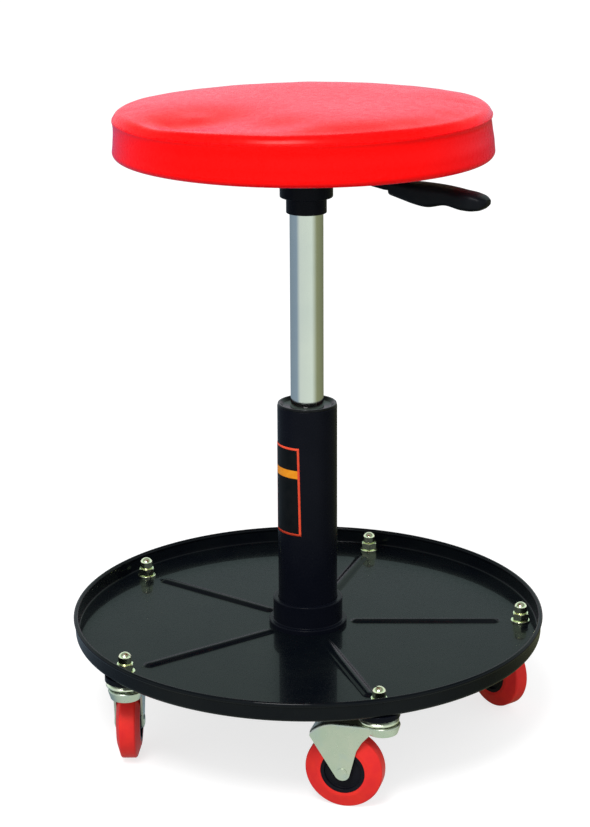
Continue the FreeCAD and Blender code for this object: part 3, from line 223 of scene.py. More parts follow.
def turnedMesh(name, profile, count, closed=True, centre=(0, 0, 0), axis=None):
    # A turned piece in millimetres, stood at a centre, upright or along a level axis.
    grid = turnedGrid(profile, count)
    if axis is not None:
        along = np.array(axis, float)
        up = np.array([0, 0, 1.0])
        side = np.cross(up, along)
        grid = grid[..., :1] * side + grid[..., 1:2] * up + grid[..., 2:] * along
    grid = (grid + np.array(centre)) * mm
    return settleMesh(gridMesh(name, grid, wrapRows=True, wrapColumns=closed))


def makePiece(name, mesh, body, material, replaced=(), smooth=32):
    # Puts a mesh into the scene, riding on a body and standing for the nodes it replaces.
    if smooth:
        smoothMesh(mesh, smooth)
    piece = placeObject(name, mesh)
    mesh.materials.clear()
    mesh.materials.append(material)
    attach(piece, body)
    if replaced:
        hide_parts(*replaced)
    return piece


def nodeCopy(name, node, edge, body, material, angle=28):
    # A node's own solid with its sheet edges broken: its triangles are merged into flat
    # faces, and a narrow bevel runs along every edge sharper than the angle.
    work = bmesh.new()
    work.from_mesh(nodes[node].data)
    bmesh.ops.remove_doubles(work, verts=work.verts, dist=2 * mergeDistance)
    bmesh.ops.dissolve_limit(work, angle_limit=math.radians(1.0), verts=work.verts, edges=work.edges)
    mesh = bpy.data.meshes.new(name)
    work.to_mesh(mesh)
    work.free()
    piece = makePiece(name, mesh, body, material, (node,), smooth=angle)
    bevel = piece.modifiers.new("brokenEdges", "BEVEL")
    bevel.width = edge * mm
    bevel.segments = 2
    bevel.limit_method = "ANGLE"
    bevel.angle_limit = math.radians(angle)
    bevel.harden_normals = True
    bevel.miter_outer = "MITER_ARC"
    return piece


# Materials. Each finish is a dictionary: two shades that a broad noise mixes, a range of
# roughness that a finer noise mixes, and a relief of (scale, depth in mm, stretch).

noiseGrain = {
    "plain": (3.0, 0.55), "lively": (4.0, 0.6),    # detail and roughness of a noise
    "blotchSpan": (0.52, 0.72),                    # part of the noise where blotches show
}


def addNode(tree, kind, inputs=None, **settings):
    # A new node with its settings. An input given as a socket is linked from that socket.
    node = tree.nodes.new(kind)
    for key, value in settings.items():
        setattr(node, key, value)
    for key, value in (inputs or {}).items():
        if isinstance(value, bpy.types.NodeSocket):
            tree.links.new(value, node.inputs[key])
        else:
            node.inputs[key].default_value = value
    return node


def maths(tree, how, first, second):
    # One step of arithmetic between two values.
    return addNode(tree, "ShaderNodeMath", {0: first, 1: second}, operation=how).outputs[0]


def noiseOf(tree, place, scale, detail=3.0, rough=0.5, stretch=None):
    # Noise on the piece's own coordinates, stretched by a Mapping node where asked.
    if stretch is not None:
        place = addNode(tree, "ShaderNodeMapping", {"Vector": place, "Scale": stretch}).outputs[0]
    inputs = {"Vector": place, "Scale": scale, "Detail": detail, "Roughness": rough}
    return addNode(tree, "ShaderNodeTexNoise", inputs).outputs["Fac"]


def spread(tree, value, low, high, start=0.35, stop=0.65):
    # Maps the middle of a noise onto the range from low to high.
    inputs = {"Value": value, "From Min": start, "From Max": stop, "To Min": low, "To Max": high}
    return addNode(tree, "ShaderNodeMapRange", inputs).outputs[0]


def mixShades(tree, share, first, second):
    # first (1 - share) + second share. The Mix node has sockets of the same name for each
    # kind of value, so the enabled one is looked for.
    inputs = {"Factor": share, "A": first, "B": second}
    node = tree.nodes.new("ShaderNodeMix")
    node.data_type = "RGBA"
    for key, value in inputs.items():
        socket = [each for each in node.inputs if each.name == key and each.enabled][0]
        if isinstance(value, bpy.types.NodeSocket):
            tree.links.new(value, socket)
        else:
            socket.default_value = value
    return [each for each in node.outputs if each.enabled][0]


def paint(*shade):
    # An opaque colour.
    return (*shade, 1.0)


def newMaterial(name):
    # An empty Principled material: the material, its tree and its surface node.
    material = bpy.data.materials.new(name)
    material.use_nodes = True
    return material, material.node_tree, material.node_tree.nodes["Principled BSDF"]


def bumpOf(tree, depth, height, below=None):
    # Relief of a depth in mm, laid over the relief below it.
    inputs = {"Strength": 1.0, "Distance": depth * mm, "Height": height}
    if below is not None:
        inputs["Normal"] = below
    return addNode(tree, "ShaderNodeBump", inputs)


def makeFinish(name, values):
    # Principled surface: colour mixes the two shades by the broad noise, then turns to the
    # blotch shade where a second noise is high. Roughness and relief have noises of their own.
    material, tree, surface = newMaterial(name)
    place = addNode(tree, "ShaderNodeTexCoord").outputs["Object"]
    broad = noiseOf(tree, place, values["broadScale"], *noiseGrain["plain"], values.get("broadStretch"))
    colour = mixShades(tree, spread(tree, broad, 0, 1), paint(*values["shade"]), paint(*values["otherShade"]))
    if "blotch" in values:
        patch = noiseOf(tree, place, values["blotchScale"], *noiseGrain["lively"])
        share = spread(tree, patch, 0, values["blotchShare"], *noiseGrain["blotchSpan"])
        colour = mixShades(tree, share, colour, paint(*values["blotch"]))
    tree.links.new(colour, surface.inputs["Base Color"])
    fine = noiseOf(tree, place, values["fineScale"], *noiseGrain["lively"], values.get("fineStretch"))
    tree.links.new(spread(tree, fine, *values["roughness"]), surface.inputs["Roughness"])
    for socket, value in values.get("sockets", {}).items():
        surface.inputs[socket].default_value = value
    scale, depth, stretch = values["relief"]
    height = noiseOf(tree, place, scale, *noiseGrain["plain"], stretch)
    tree.links.new(bumpOf(tree, depth, height).outputs[0], surface.inputs["Normal"])
    return material


finishes = {
    "trayPaint": {     # black enamel with a little orange peel and dust
        "shade": (0.0020, 0.0030, 0.0050), "otherShade": (0.0036, 0.0050, 0.0064), "broadScale": 30.0,
        "fineScale": 240.0, "roughness": (0.20, 0.30),
        "relief": (420.0, 0.005, None),
        "sockets": {"Specular IOR Level": 0.03, "Coat Weight": 0.18, "Coat Roughness": 0.04},
    },
    "framePaint": {    # satin black powder coat
        "shade": (0.0028, 0.0036, 0.0070), "otherShade": (0.0042, 0.0050, 0.0088), "broadScale": 22.0,
        "fineScale": 500.0, "roughness": (0.22, 0.32),
        "relief": (900.0, 0.010, None),
        "sockets": {"Specular IOR Level": 0.06},
    },
    "zincPlate": {     # bright zinc with a pale yellow-green passivation
        "shade": (0.56, 0.63, 0.52), "otherShade": (0.64, 0.67, 0.56), "broadScale": 45.0,
        "blotch": (0.50, 0.60, 0.60), "blotchScale": 70.0, "blotchShare": 0.5,
        "fineScale": 350.0, "roughness": (0.26, 0.40),
        "relief": (700.0, 0.006, None),
        "sockets": {"Metallic": 1.0},
    },
    "brightTube": {    # polished tube with faint drawn lines along it
        "shade": (0.78, 0.81, 0.80), "otherShade": (0.84, 0.86, 0.83), "broadScale": 18.0,
        "fineScale": 600.0, "fineStretch": (1.0, 1.0, 0.03), "roughness": (0.10, 0.17),
        "relief": (900.0, 0.0015, (1.0, 1.0, 0.02)),
        "sockets": {"Metallic": 1.0},
    },
    "plainSteel": {
        "shade": (0.42, 0.42, 0.43), "otherShade": (0.50, 0.49, 0.48), "broadScale": 60.0,
        "blotch": (0.33, 0.30, 0.27), "blotchScale": 90.0, "blotchShare": 0.4,
        "fineScale": 500.0, "roughness": (0.30, 0.45),
        "relief": (800.0, 0.008, None),
        "sockets": {"Metallic": 1.0},
    },
    "groundSteel": {
        "shade": (0.62, 0.62, 0.63), "otherShade": (0.70, 0.70, 0.71), "broadScale": 40.0,
        "fineScale": 800.0, "roughness": (0.14, 0.22),
        "relief": (1200.0, 0.002, None),
        "sockets": {"Metallic": 1.0},
    },
    "castAluminium": {
        "shade": (0.60, 0.60, 0.61), "otherShade": (0.68, 0.68, 0.68), "broadScale": 60.0,
        "fineScale": 600.0, "roughness": (0.30, 0.42),
        "relief": (900.0, 0.01, None),
        "sockets": {"Metallic": 1.0},
    },
    "nutZinc": {       # bright nuts, yellower than the plate
        "shade": (0.94, 0.98, 0.68), "otherShade": (0.86, 0.93, 0.66), "broadScale": 120.0,
        "fineScale": 400.0, "roughness": (0.14, 0.22),
        "relief": (600.0, 0.006, None),
        "sockets": {"Metallic": 1.0},
    },
    "raceZinc": {
        "shade": (0.92, 0.96, 0.76), "otherShade": (0.84, 0.91, 0.74), "broadScale": 90.0,
        "fineScale": 350.0, "roughness": (0.30, 0.42),
        "relief": (600.0, 0.006, None),
        "sockets": {"Metallic": 1.0},
    },
    "bushPlastic": {   # polished by the tube that slides in it
        "shade": (0.0030, 0.0036, 0.0050), "otherShade": (0.0045, 0.0052, 0.0065), "broadScale": 50.0,
        "fineScale": 300.0, "roughness": (0.16, 0.24),
        "relief": (700.0, 0.006, None),
        "sockets": {"Specular IOR Level": 0.16},
    },
    "blackPlastic": {
        "shade": (0.008, 0.008, 0.010), "otherShade": (0.012, 0.012, 0.014), "broadScale": 50.0,
        "fineScale": 700.0, "roughness": (0.38, 0.50),
        "relief": (1500.0, 0.012, None),
        "sockets": {"Specular IOR Level": 0.35},
    },
    "handlePlastic": {  # spark-eroded mould texture
        "shade": (0.0030, 0.0038, 0.0060), "otherShade": (0.0045, 0.0055, 0.0075), "broadScale": 60.0,
        "fineScale": 900.0, "roughness": (0.34, 0.44),
        "relief": (2200.0, 0.008, None),
        "sockets": {"Specular IOR Level": 0.10},
    },
    "wheelPlastic": {
        "shade": (0.0050, 0.0050, 0.0085), "otherShade": (0.0075, 0.0075, 0.0115), "broadScale": 80.0,
        "fineScale": 800.0, "roughness": (0.30, 0.42),
        "relief": (1400.0, 0.006, None),
        "sockets": {"Specular IOR Level": 0.08},
    },
    "redTyre": {       # cast polyurethane
        "shade": (0.82, 0.034, 0.024), "otherShade": (0.74, 0.026, 0.026), "broadScale": 70.0,
        "fineScale": 500.0, "roughness": (0.36, 0.50),
        "relief": (900.0, 0.010, None),
        "sockets": {"Specular IOR Level": 0.12},
    },
    "blackRubber": {
        "shade": (0.012, 0.012, 0.012), "otherShade": (0.020, 0.020, 0.020), "broadScale": 90.0,
        "fineScale": 700.0, "roughness": (0.55, 0.75),
        "relief": (1100.0, 0.02, None),
    },
    "seatFoam": {
        "shade": (0.80, 0.74, 0.52), "otherShade": (0.72, 0.64, 0.42), "broadScale": 30.0,
        "fineScale": 900.0, "roughness": (0.85, 0.95),
        "relief": (1500.0, 0.25, None),
    },
    "plywood": {       # birch face, grain along x
        "shade": (0.62, 0.47, 0.30), "otherShade": (0.50, 0.35, 0.20), "broadScale": 16.0,
        "broadStretch": (0.5, 9.0, 9.0),
        "fineScale": 300.0, "roughness": (0.55, 0.70),
        "relief": (260.0, 0.05, (0.1, 1.0, 1.0)),
    },
}


def makeVinyl(values):
    # Upholstery vinyl: an embossed hide of small cells with rounded valleys, slack in it
    # as a slow relief, and a broad noise that varies the red a little. The cells are cut
    # at places moved by a noise: place + warp (noise - 0.5).
    material, tree, surface = newMaterial("redVinyl")
    place = addNode(tree, "ShaderNodeTexCoord").outputs["Object"]
    broad = noiseOf(tree, place, values["broadScale"])
    colour = mixShades(tree, spread(tree, broad, 0, 1), paint(*values["shade"]), paint(*values["otherShade"]))
    tree.links.new(colour, surface.inputs["Base Color"])
    fine = noiseOf(tree, place, values["fineScale"])
    tree.links.new(spread(tree, fine, *values["roughness"]), surface.inputs["Roughness"])
    warp = addNode(tree, "ShaderNodeTexNoise", {"Vector": place, "Scale": values["warpScale"]})
    centred = addNode(tree, "ShaderNodeVectorMath", {0: warp.outputs["Color"], 1: (0.5, 0.5, 0.5)},
                      operation="SUBTRACT")
    shift = addNode(tree, "ShaderNodeVectorMath", {0: centred.outputs[0], "Scale": values["cellWarp"]},
                    operation="SCALE")
    bent = addNode(tree, "ShaderNodeVectorMath", {0: place, 1: shift.outputs[0]})
    cells = addNode(tree, "ShaderNodeTexVoronoi", {"Vector": bent.outputs[0], "Scale": values["cellScale"]})
    cells.feature = "SMOOTH_F1"
    grain = bumpOf(tree, values["grainDepth"], cells.outputs["Distance"])
    grain.invert = True
    slack = noiseOf(tree, place, values["slackScale"], 2.0)
    whole = bumpOf(tree, values["slackDepth"], slack, grain.outputs[0])
    tree.links.new(whole.outputs[0], surface.inputs["Normal"])
    for socket, value in values["sockets"].items():
        surface.inputs[socket].default_value = value
    return material


vinylFinish = {
    "shade": (0.98, 0.0012, 0.0006), "otherShade": (0.95, 0.0010, 0.0006), "broadScale": 9.0,
    "fineScale": 200.0, "roughness": (0.24, 0.31),
    "cellScale": 1100.0, "warpScale": 660.0, "cellWarp": 0.0008, "grainDepth": 0.0009,
    "slackScale": 24.0, "slackDepth": 0.12,
    "sockets": {
        "IOR": 1.2, "Sheen Weight": 0.10, "Sheen Roughness": 0.35, "Sheen Tint": (0.2, 0.02, 1.0, 1.0),
    },
}

material = {name: makeFinish(name, values) for name, values in finishes.items()}
material["redVinyl"] = makeVinyl(vinylFinish)
print("materials made:", len(material))

slotFinish = {
    "tray_paint": "trayPaint", "frame_paint": "framePaint", "zinc_plate": "zincPlate",
    "bright_tube": "brightTube", "plain_steel": "plainSteel", "ground_steel": "groundSteel",
    "black_plastic": "blackPlastic", "handle_plastic": "handlePlastic",
    "wheel_plastic": "wheelPlastic", "red_tyre": "redTyre", "black_rubber": "blackRubber",
    "red_vinyl": "redVinyl", "seat_foam": "seatFoam", "plywood": "plywood",
    "aluminium": "castAluminium",
}
for part in frame["record"]["subparts"]:
    for holder in nodes[part["node"]].material_slots:
        holder.material = material[slotFinish[part["material_slot"]]]
print("solids painted")


# The tool tray: a pan of sheet with a rolled rim and five pressed beads.

trayShape = {
    "gauge": 2.0, "floor": 87.35, "hole": 28.05, "wall": 201.6, "corner": 3.6,
    "rim": 2.1, "rimStand": 1.4, "rimTop": 102.25, "rimCurl": -66.0,
    "beads": 5, "beadHalf": 5.0, "beadRise": 2.2, "beadStart": 38.0, "beadEnd": 166.0,
    "beadBlend": 0.5, "beadFade": (6.0, 8.5),
    # support points: before the corner, and on either side of the wall, each as (over its
    # foot, below the rim's middle)
    "cornerGap": 0.6, "wallInside": (4.5, 2.6), "wallOutside": (0.8, 3.0),
    # the grid: rings over a bead's middle and ends, how far out of and into a bead the fine
    # rings reach, and degrees as (reach, step) from a bead outwards
    "floorSteps": 40, "endSteps": 9, "endRings": (6.0, 1.0),
    "nearBead": (2.4, 0.24), "besideBead": (8.0, 0.56), "between": 1.15,
}
sectorTurn = 360 / trayShape["beads"]


def sectorAngles(values):
    # Angles round the tray, close together over each bead and wide apart between them.
    near, fine = values["nearBead"]
    beside, middle = values["besideBead"]
    end = sectorTurn / 2
    half = np.concatenate([
        np.arange(0, near, fine),
        np.arange(near, beside, middle),
        np.linspace(beside, end, int((end - beside) / values["between"]) + 1),
    ])
    sector = np.concatenate([-half[::-1][:-1], half[:-1]])
    return np.radians(np.concatenate([sector + sectorTurn * index for index in range(values["beads"])]))


def beadHeight(radius, angle, values):
    # Height of a bead over the flat sheet: the top of a long capsule of radius R, which at
    # distance d from the bead's line stands h = sqrt(R^2 - d^2) - R + rise over the sheet.
    # Where it meets the sheet it is blended, as pressed metal is: (h + sqrt(h^2 + blend^2)) / 2.
    half, rise = values["beadHalf"], values["beadRise"]
    capsule = (half * half / rise + rise) / 2
    turn = (angle + math.radians(sectorTurn / 2)) % math.radians(sectorTurn) - math.radians(sectorTurn / 2)
    along = radius * np.cos(turn)
    across = radius * np.sin(turn)
    start, end = values["beadStart"] + half, values["beadEnd"] - half
    beyond = along - np.clip(along, start, end)
    apart = np.hypot(across, beyond)
    height = rise - capsule + np.sqrt(np.maximum(capsule ** 2 - apart ** 2, 0.0))
    blend = values["beadBlend"]
    full, gone = values["beadFade"]
    fade = np.clip((gone - apart) / (gone - full), 0, 1)
    return (height + np.sqrt(height ** 2 + blend ** 2)) / 2 * fade


def makeTray(values):
    # Profile from the hole's top edge outwards over the floor, up the wall, round the
    # rolled rim and back underneath. The floor's points are lifted by the beads.
    floor, gauge, wall, corner = values["floor"], values["gauge"], values["wall"], values["corner"]
    under = floor - gauge
    rimCentre = (wall + values["rimStand"] - values["rim"], values["rimTop"] - values["rim"])
    start, end = values["beadStart"] + values["beadHalf"], values["beadEnd"] - values["beadHalf"]
    fine = values["endSteps"]
    outside, inside = values["endRings"]
    out = np.unique(np.concatenate([
        np.linspace(values["hole"], start - outside, 4),
        np.linspace(start - outside, start + inside, fine),
        np.linspace(start + inside, end - inside, values["floorSteps"]),
        np.linspace(end - inside, end + outside, fine),
        np.linspace(end + outside, wall - corner - values["cornerGap"], fine),
    ]))
    innerFloor = np.stack([out, np.full_like(out, floor)], axis=1)
    innerCorner = arcPoints((wall - corner, floor + corner - gauge), corner - gauge, -90, 0, 5)
    dip = math.degrees(math.asin((wall - gauge - rimCentre[0]) / values["rim"]))
    rimArc = arcPoints(rimCentre, values["rim"], 270 + dip, values["rimCurl"], 26)
    foot, top = values["wallInside"]
    innerWall = np.array([[wall - gauge, floor + foot], [wall - gauge, rimCentre[1] - top]])
    foot, top = values["wallOutside"]
    outerWall = np.array([[wall, rimCentre[1] - top], [wall, floor + corner - gauge + foot]])
    outerCorner = arcPoints((wall - corner, under + corner), corner, 0, -90, 7)
    lowerFloor = np.stack([out[::-1], np.full_like(out, under)], axis=1)
    profile = np.vstack([innerFloor, innerCorner, innerWall, rimArc, outerWall, outerCorner, lowerFloor])
    angle = sectorAngles(values)[:, None]
    radius = np.broadcast_to(profile[None, :, 0], (len(angle), len(profile)))
    flat = np.zeros(len(profile))
    flat[:len(out)] = 1
    flat[-len(out):] = 1
    height = profile[None, :, 1] + flat * beadHeight(radius, angle, values)
    grid = np.stack([radius * np.cos(angle), radius * np.sin(angle), height], axis=-1) * mm
    return settleMesh(gridMesh("toolTray", grid, wrapRows=True, wrapColumns=True))


makePiece("tool_tray_pan", makeTray(trayShape), "base", material["trayPaint"],
          ("tool_tray",), 40)
print("tray pressed")


# Turned pieces of the base and the lift: corners as (radius, height, rounding).

turnedPieces = {
    "hub_collar": {
        "node": "hub_socket", "body": "base", "slot": "frame_paint",
        "corners": [
            (21.8, 57.95, 0.3), (28.0, 57.95, 0.8), (28.0, 87.35, 0.0), (33.7, 87.37, 0.0),
            (33.7, 91.75, 0.9), (30.0, 91.75, 0.7), (30.0, 111.55, 1.1), (25.45, 111.55, 0.5),
            (25.45, 59.95, 0.2), (21.8, 59.95, 0.3),
        ],
    },
    "column_outer_tube": {
        "node": "column_tube", "body": "base", "slot": "frame_paint",
        "corners": [(25.4, 59.95, 0.3), (25.4, 284.55, 0.6), (23.6, 284.55, 0.3), (23.6, 59.95, 0.3)],
    },
    "column_guide_bush": {
        "node": "guide_bush", "body": "base", "slot": "black_plastic", "finish": "bushPlastic",
        "corners": [
            (14.05, 196.55, 0.4), (23.55, 196.55, 0.5), (23.55, 284.6, 0.0), (25.0, 284.6, 0.2),
            (25.0, 286.55, 0.7), (23.2, 286.55, 0.6), (20.6, 284.1, 0.9), (14.05, 283.3, 0.5),
            (14.05, 266.55, 0.0), (15.05, 265.55, 0.0),
            (15.05, 217.55, 0.0), (14.05, 216.55, 0.0),
        ],
    },
    "lift_pressure_tube": {
        "node": "pressure_tube", "body": "seat", "slot": "bright_tube",
        "corners": [
            (12.5, 205.75, 0.2), (14.0, 205.75, 0.5), (14.0, 449.05, 3.0), (13.1, 474.05, 0.4),
            (11.6, 474.05, 0.2), (12.5, 449.05, 0.0),
        ],
    },
}
for name, values in turnedPieces.items():
    mesh = turnedMesh(name, softProfile(values["corners"]), stepsRound["tube"])
    finish = values.get("finish", slotFinish[values["slot"]])
    makePiece(name, mesh, values["body"], material[finish], (values["node"],))
print("column and lift turned")


# The casters: what stands still is turned about each stem, and what rolls about each axle.

casterShape = {
    "stemRing": 185.0,
    "spacer": [(4.05, 80.75, 0.0), (17.0, 80.75, 0.5), (17.0, 85.35, 0.5), (4.05, 85.35, 0.0)],
    "race": [
        (4.05, 74.8, 0.0), (6.6, 74.8, 0.0), (6.6, 77.85, 0.0), (12.2, 77.85, 0.6), (14.2, 76.55, 0.0),
        (16.2, 76.55, 0.4), (16.2, 77.85, 0.6), (13.6, 80.75, 1.5), (4.05, 80.75, 0.0),
    ],
    "washer": [(4.05, 87.35, 0.0), (8.3, 87.35, 0.25), (8.3, 88.95, 0.45), (4.05, 88.95, 0.0)],
    "tyre": [
        (18.25, 9.9, 0.0), (21.0, 9.9, 2.4), (30.85, 6.6, 1.4), (31.75, 5.6, 2.2),
        (31.75, -5.6, 2.2), (30.85, -6.6, 1.4), (21.0, -9.9, 2.4), (18.25, -9.9, 0.0),
    ],
    "hub": [
        (3.05, 10.0, 0.0), (7.5, 10.0, 0.6), (7.5, 7.0, 0.7), (15.2, 7.0, 0.7), (15.2, 9.9, 0.6),
        (18.2, 9.9, 0.4), (18.2, -9.9, 0.4), (15.2, -9.9, 0.6), (15.2, -7.0, 0.7), (7.5, -7.0, 0.7),
        (7.5, -10.0, 0.6), (3.05, -10.0, 0.0),
    ],
    "axle": [
        (0.0, 12.7, 0.0), (4.3, 12.7, 0.2), (4.3, 12.0, 0.0), (3.0, 12.0, 0.0), (3.0, -12.0, 0.0),
        (4.3, -12.0, 0.0), (4.3, -12.7, 0.2), (0.0, -12.7, 0.0),
    ],
    "forkEdge": 0.35,
}

# Middles of the five stems, evenly round a ring.
stemAngles = [math.radians(360 / len(casterNames) * index) for index in range(len(casterNames))]
stemCentres = [(casterShape["stemRing"] * math.cos(angle), casterShape["stemRing"] * math.sin(angle), 0)
               for angle in stemAngles]


def makeRings(name, node, corners, finish):
    # The same turned profile about each stem, as one piece.
    profile = softProfile(corners)
    rings = [turnedMesh(name, profile, stepsRound["ring"], centre=centre) for centre in stemCentres]
    makePiece(name, joinMeshes(name, rings), "base", material[finish], (node,))


makeRings("tray_spacers", "caster_spacers", casterShape["spacer"], "framePaint")
makeRings("swivel_races", "caster_races", casterShape["race"], "raceZinc")
makeRings("tray_washers", "caster_washers", casterShape["washer"], "nutZinc")

for name in casterNames:
    roll = joints["roll_" + name]
    centre = np.array(roll["pos_m"]) / mm
    axis = np.array(roll["axis"], float)
    tyre = turnedMesh("tyre", softProfile(casterShape["tyre"], steps=6), stepsRound["tyre"], True,
                      centre, axis)
    makePiece("tyre_tread_" + name, tyre, "wheel_" + name, material["redTyre"], ("tyre_" + name,))
    hub = turnedMesh("hub", softProfile(casterShape["hub"]), stepsRound["hub"], True, centre, axis)
    makePiece("hub_centre_" + name, hub, "wheel_" + name, material["wheelPlastic"],
              ("wheel_hub_" + name,))
    rivet = turnedMesh("rivet", softProfile(casterShape["axle"], closed=False), stepsRound["rivet"], False,
                       centre, axis)
    makePiece("axle_rivet_" + name, rivet, "fork_" + name, material["zincPlate"],
              ("axle_" + name,))
    nodeCopy("fork_shell_" + name, "fork_" + name, casterShape["forkEdge"], "fork_" + name,
             material["zincPlate"])
print("casters mounted")


# Nuts on the tray floor: a hexagon whose corners are turned off by a cone, and a domed cap.

nutShape = {
    "foot": 88.95, "top": 95.45, "flat": 6.5, "bore": 4.05, "face": 6.4025, "chamferSlope": 0.55,
    "angleStep": 2.5, "firstRow": 0.05, "chamferRows": (0.8, 1.0),    # rows at the foot and the top
    "capRadius": 5.5, "capTop": 105.05, "capChamfer": 0.4, "capStep": 0.5, "domeHeight": 3.6,
}


def makeNuts(values):
    # Radius at angle a and height z: the smaller of flat / cos(a') and the chamfer cone,
    # face + (distance from the nearer end) / slope, where a' is the angle from the nearest
    # flat's middle.
    foot, top = values["foot"], values["top"]
    angle = np.radians(np.arange(0, 360, values["angleStep"]))[:, None]
    near = (angle + math.radians(30)) % math.radians(60) - math.radians(30)
    first, (lower, upper) = values["firstRow"], values["chamferRows"]
    height = np.concatenate([[foot, foot], np.linspace(foot + first, foot + lower, 4),
                             np.linspace(top - upper, top - first, 6), [top, top]])
    hexagon = values["flat"] / np.cos(near)
    edge = np.minimum(height - foot, top - height)[None, :]
    cone = values["face"] + edge / values["chamferSlope"]
    radius = np.minimum(hexagon, cone)
    radius[:, 0] = values["bore"]
    radius[:, -1] = values["bore"]
    heights = np.broadcast_to(height[None, :], radius.shape)
    nuts = []
    for centre in stemCentres:
        grid = np.stack([radius * np.cos(angle), radius * np.sin(angle), heights], axis=-1)
        grid = (grid + np.array(centre)) * mm
        nuts.append(settleMesh(gridMesh("nut", grid, wrapRows=True, wrapColumns=True)))
    return joinMeshes("trayNuts", nuts)


def makeCapNuts(values):
    # A short cylinder under a dome. The dome's radius follows from its half chord c and its
    # height h: (c^2 / h + h) / 2.
    dome, cap, chamfer = values["domeHeight"], values["capRadius"], values["capChamfer"]
    radius = (cap * cap / dome + dome) / 2
    foot, top, step = values["top"], values["capTop"], values["capStep"]
    start = math.degrees(math.asin((radius - dome) / radius))
    arc = arcPoints((0, top - radius), radius, start, 90, 14)
    profile = np.vstack([
        [[0.0, foot], [cap - chamfer, foot], [cap, foot + chamfer], [cap, foot + chamfer + step],
         [cap, top - dome - step]], arc])
    profile[-1, 0] = 0.0
    caps = [turnedMesh("cap", profile, stepsRound["cap"], False, centre) for centre in stemCentres]
    return joinMeshes("capNuts", caps)


makePiece("tray_nuts", makeNuts(nutShape), "base", material["nutZinc"], ("caster_nuts",), 24)
makePiece("tray_cap_nuts", makeCapNuts(nutShape), "base", material["nutZinc"],
          ("caster_cap_nuts",), 50)
print("nuts set")


# The lever: a bent rod and a moulded handle, both drawn in the lever's own upright plane.

leverShape = {
    "turn": -30.0, "height": 484.05, "tail": -6.0, "rodRadius": 4.0, "rodChamfer": 0.5, "crankReach": 38.0,
    "bend": 10.0, "crank": 9.5, "crankRun": 33.0, "slope": 1.7, "setback": 4.8, "grip": 34.0,
    "length": 86.0, "width": 22.0, "rise": 6.3, "drop": 12.6, "squareness": 3.2,
    # shares of length, width, rise and drop along the handle
    "along": [0.00, 0.15, 0.27, 0.40, 0.60, 0.77, 0.89, 0.965, 1.00],
    "wide": [0.50, 0.74, 0.88, 0.94, 0.97, 1.00, 0.94, 0.76, 0.46],
    "high": [0.79, 0.89, 0.97, 1.00, 0.90, 0.65, 0.46, 0.14, -0.14],
    "low": [0.55, 0.75, 0.91, 1.00, 0.73, 0.89, 0.85, 0.68, 0.46],
    "rootEdge": (0.012, 0.93),    # where the root's edge ends, and the share it starts from
    "sections": ((0.03, 0.9, 44), (0.915, 1.0, 12)),
}


def leverPath(values):
    # Points of the rod's middle line: level, down the crank by two tangent arcs, and on
    # at the outer slope. Returns the points and where the handle starts.
    steep, slope, bend = math.radians(values["crank"]), math.radians(values["slope"]), values["bend"]
    reach = values["crankReach"]
    first = arcPoints((reach, -bend), bend, 90, 90 - values["crank"], 8)
    end = first[-1]
    down = np.array([math.cos(steep), -math.sin(steep)])
    crankEnd = end + down * values["crankRun"]
    centre = crankEnd + bend * np.array([math.sin(steep), math.cos(steep)])
    second = arcPoints(centre, bend, -90 - values["crank"], -90 - values["slope"], 7)
    out = np.array([math.cos(slope), -math.sin(slope)])
    root = second[-1] + out * values["setback"]
    tip = root + out * values["grip"]
    return np.vstack([[[values["tail"], 0]], first, second, [root], [tip]]), root, out


def inLeverPlane(points, across, values):
    # (along, up) in the lever's upright plane, and a distance across it, to x, y, z.
    turn = math.radians(values["turn"])
    x = points[..., 0] * math.cos(turn) - across * math.sin(turn)
    y = points[..., 0] * math.sin(turn) + across * math.cos(turn)
    return np.stack([x, y, points[..., 1] + values["height"]], axis=-1)


def makeLeverRod(values):
    # A circle carried along the path, turned with it so that it stays square to it.
    path, _, _ = leverPath(values)
    step = np.gradient(path, axis=0)
    heading = step / np.linalg.norm(step, axis=1)[:, None]
    upward = np.stack([-heading[:, 1], heading[:, 0]], axis=1)
    # the tail's point is there three times, for its middle, its chamfer and its full size
    order = np.concatenate([[0, 0, 0], np.arange(1, len(path)), [len(path) - 1]])
    path, upward = path[order], upward[order]
    path[2, 0] += values["rodChamfer"]
    sizes = np.full(len(path), values["rodRadius"])
    sizes[1] -= values["rodChamfer"]
    sizes[[0, -1]] = 0.0
    around = np.linspace(0, 2 * math.pi, stepsRound["rod"], endpoint=False)
    section = sizes[:, None, None] * upward[:, None, :] * np.cos(around)[None, :, None]
    grid = inLeverPlane(path[:, None, :] + section, sizes[:, None] * np.sin(around)[None, :], values)
    return settleMesh(gridMesh("leverRod", grid * mm, wrapColumns=True))


def smoothTable(at, table, shares):
    # A smooth curve through the table's values, by cubic pieces whose slope at each value
    # is that of its two neighbours.
    table, shares = np.array(table), np.array(shares)
    slope = np.gradient(table, shares)
    index = np.clip(np.searchsorted(shares, at) - 1, 0, len(shares) - 2)
    width = shares[index + 1] - shares[index]
    t = (at - shares[index]) / width
    low, high = table[index], table[index + 1]
    return ((2 * t ** 3 - 3 * t ** 2 + 1) * low + (t ** 3 - 2 * t ** 2 + t) * width * slope[index]
            + (3 * t ** 2 - 2 * t ** 3) * high + (t ** 3 - t ** 2) * width * slope[index + 1])


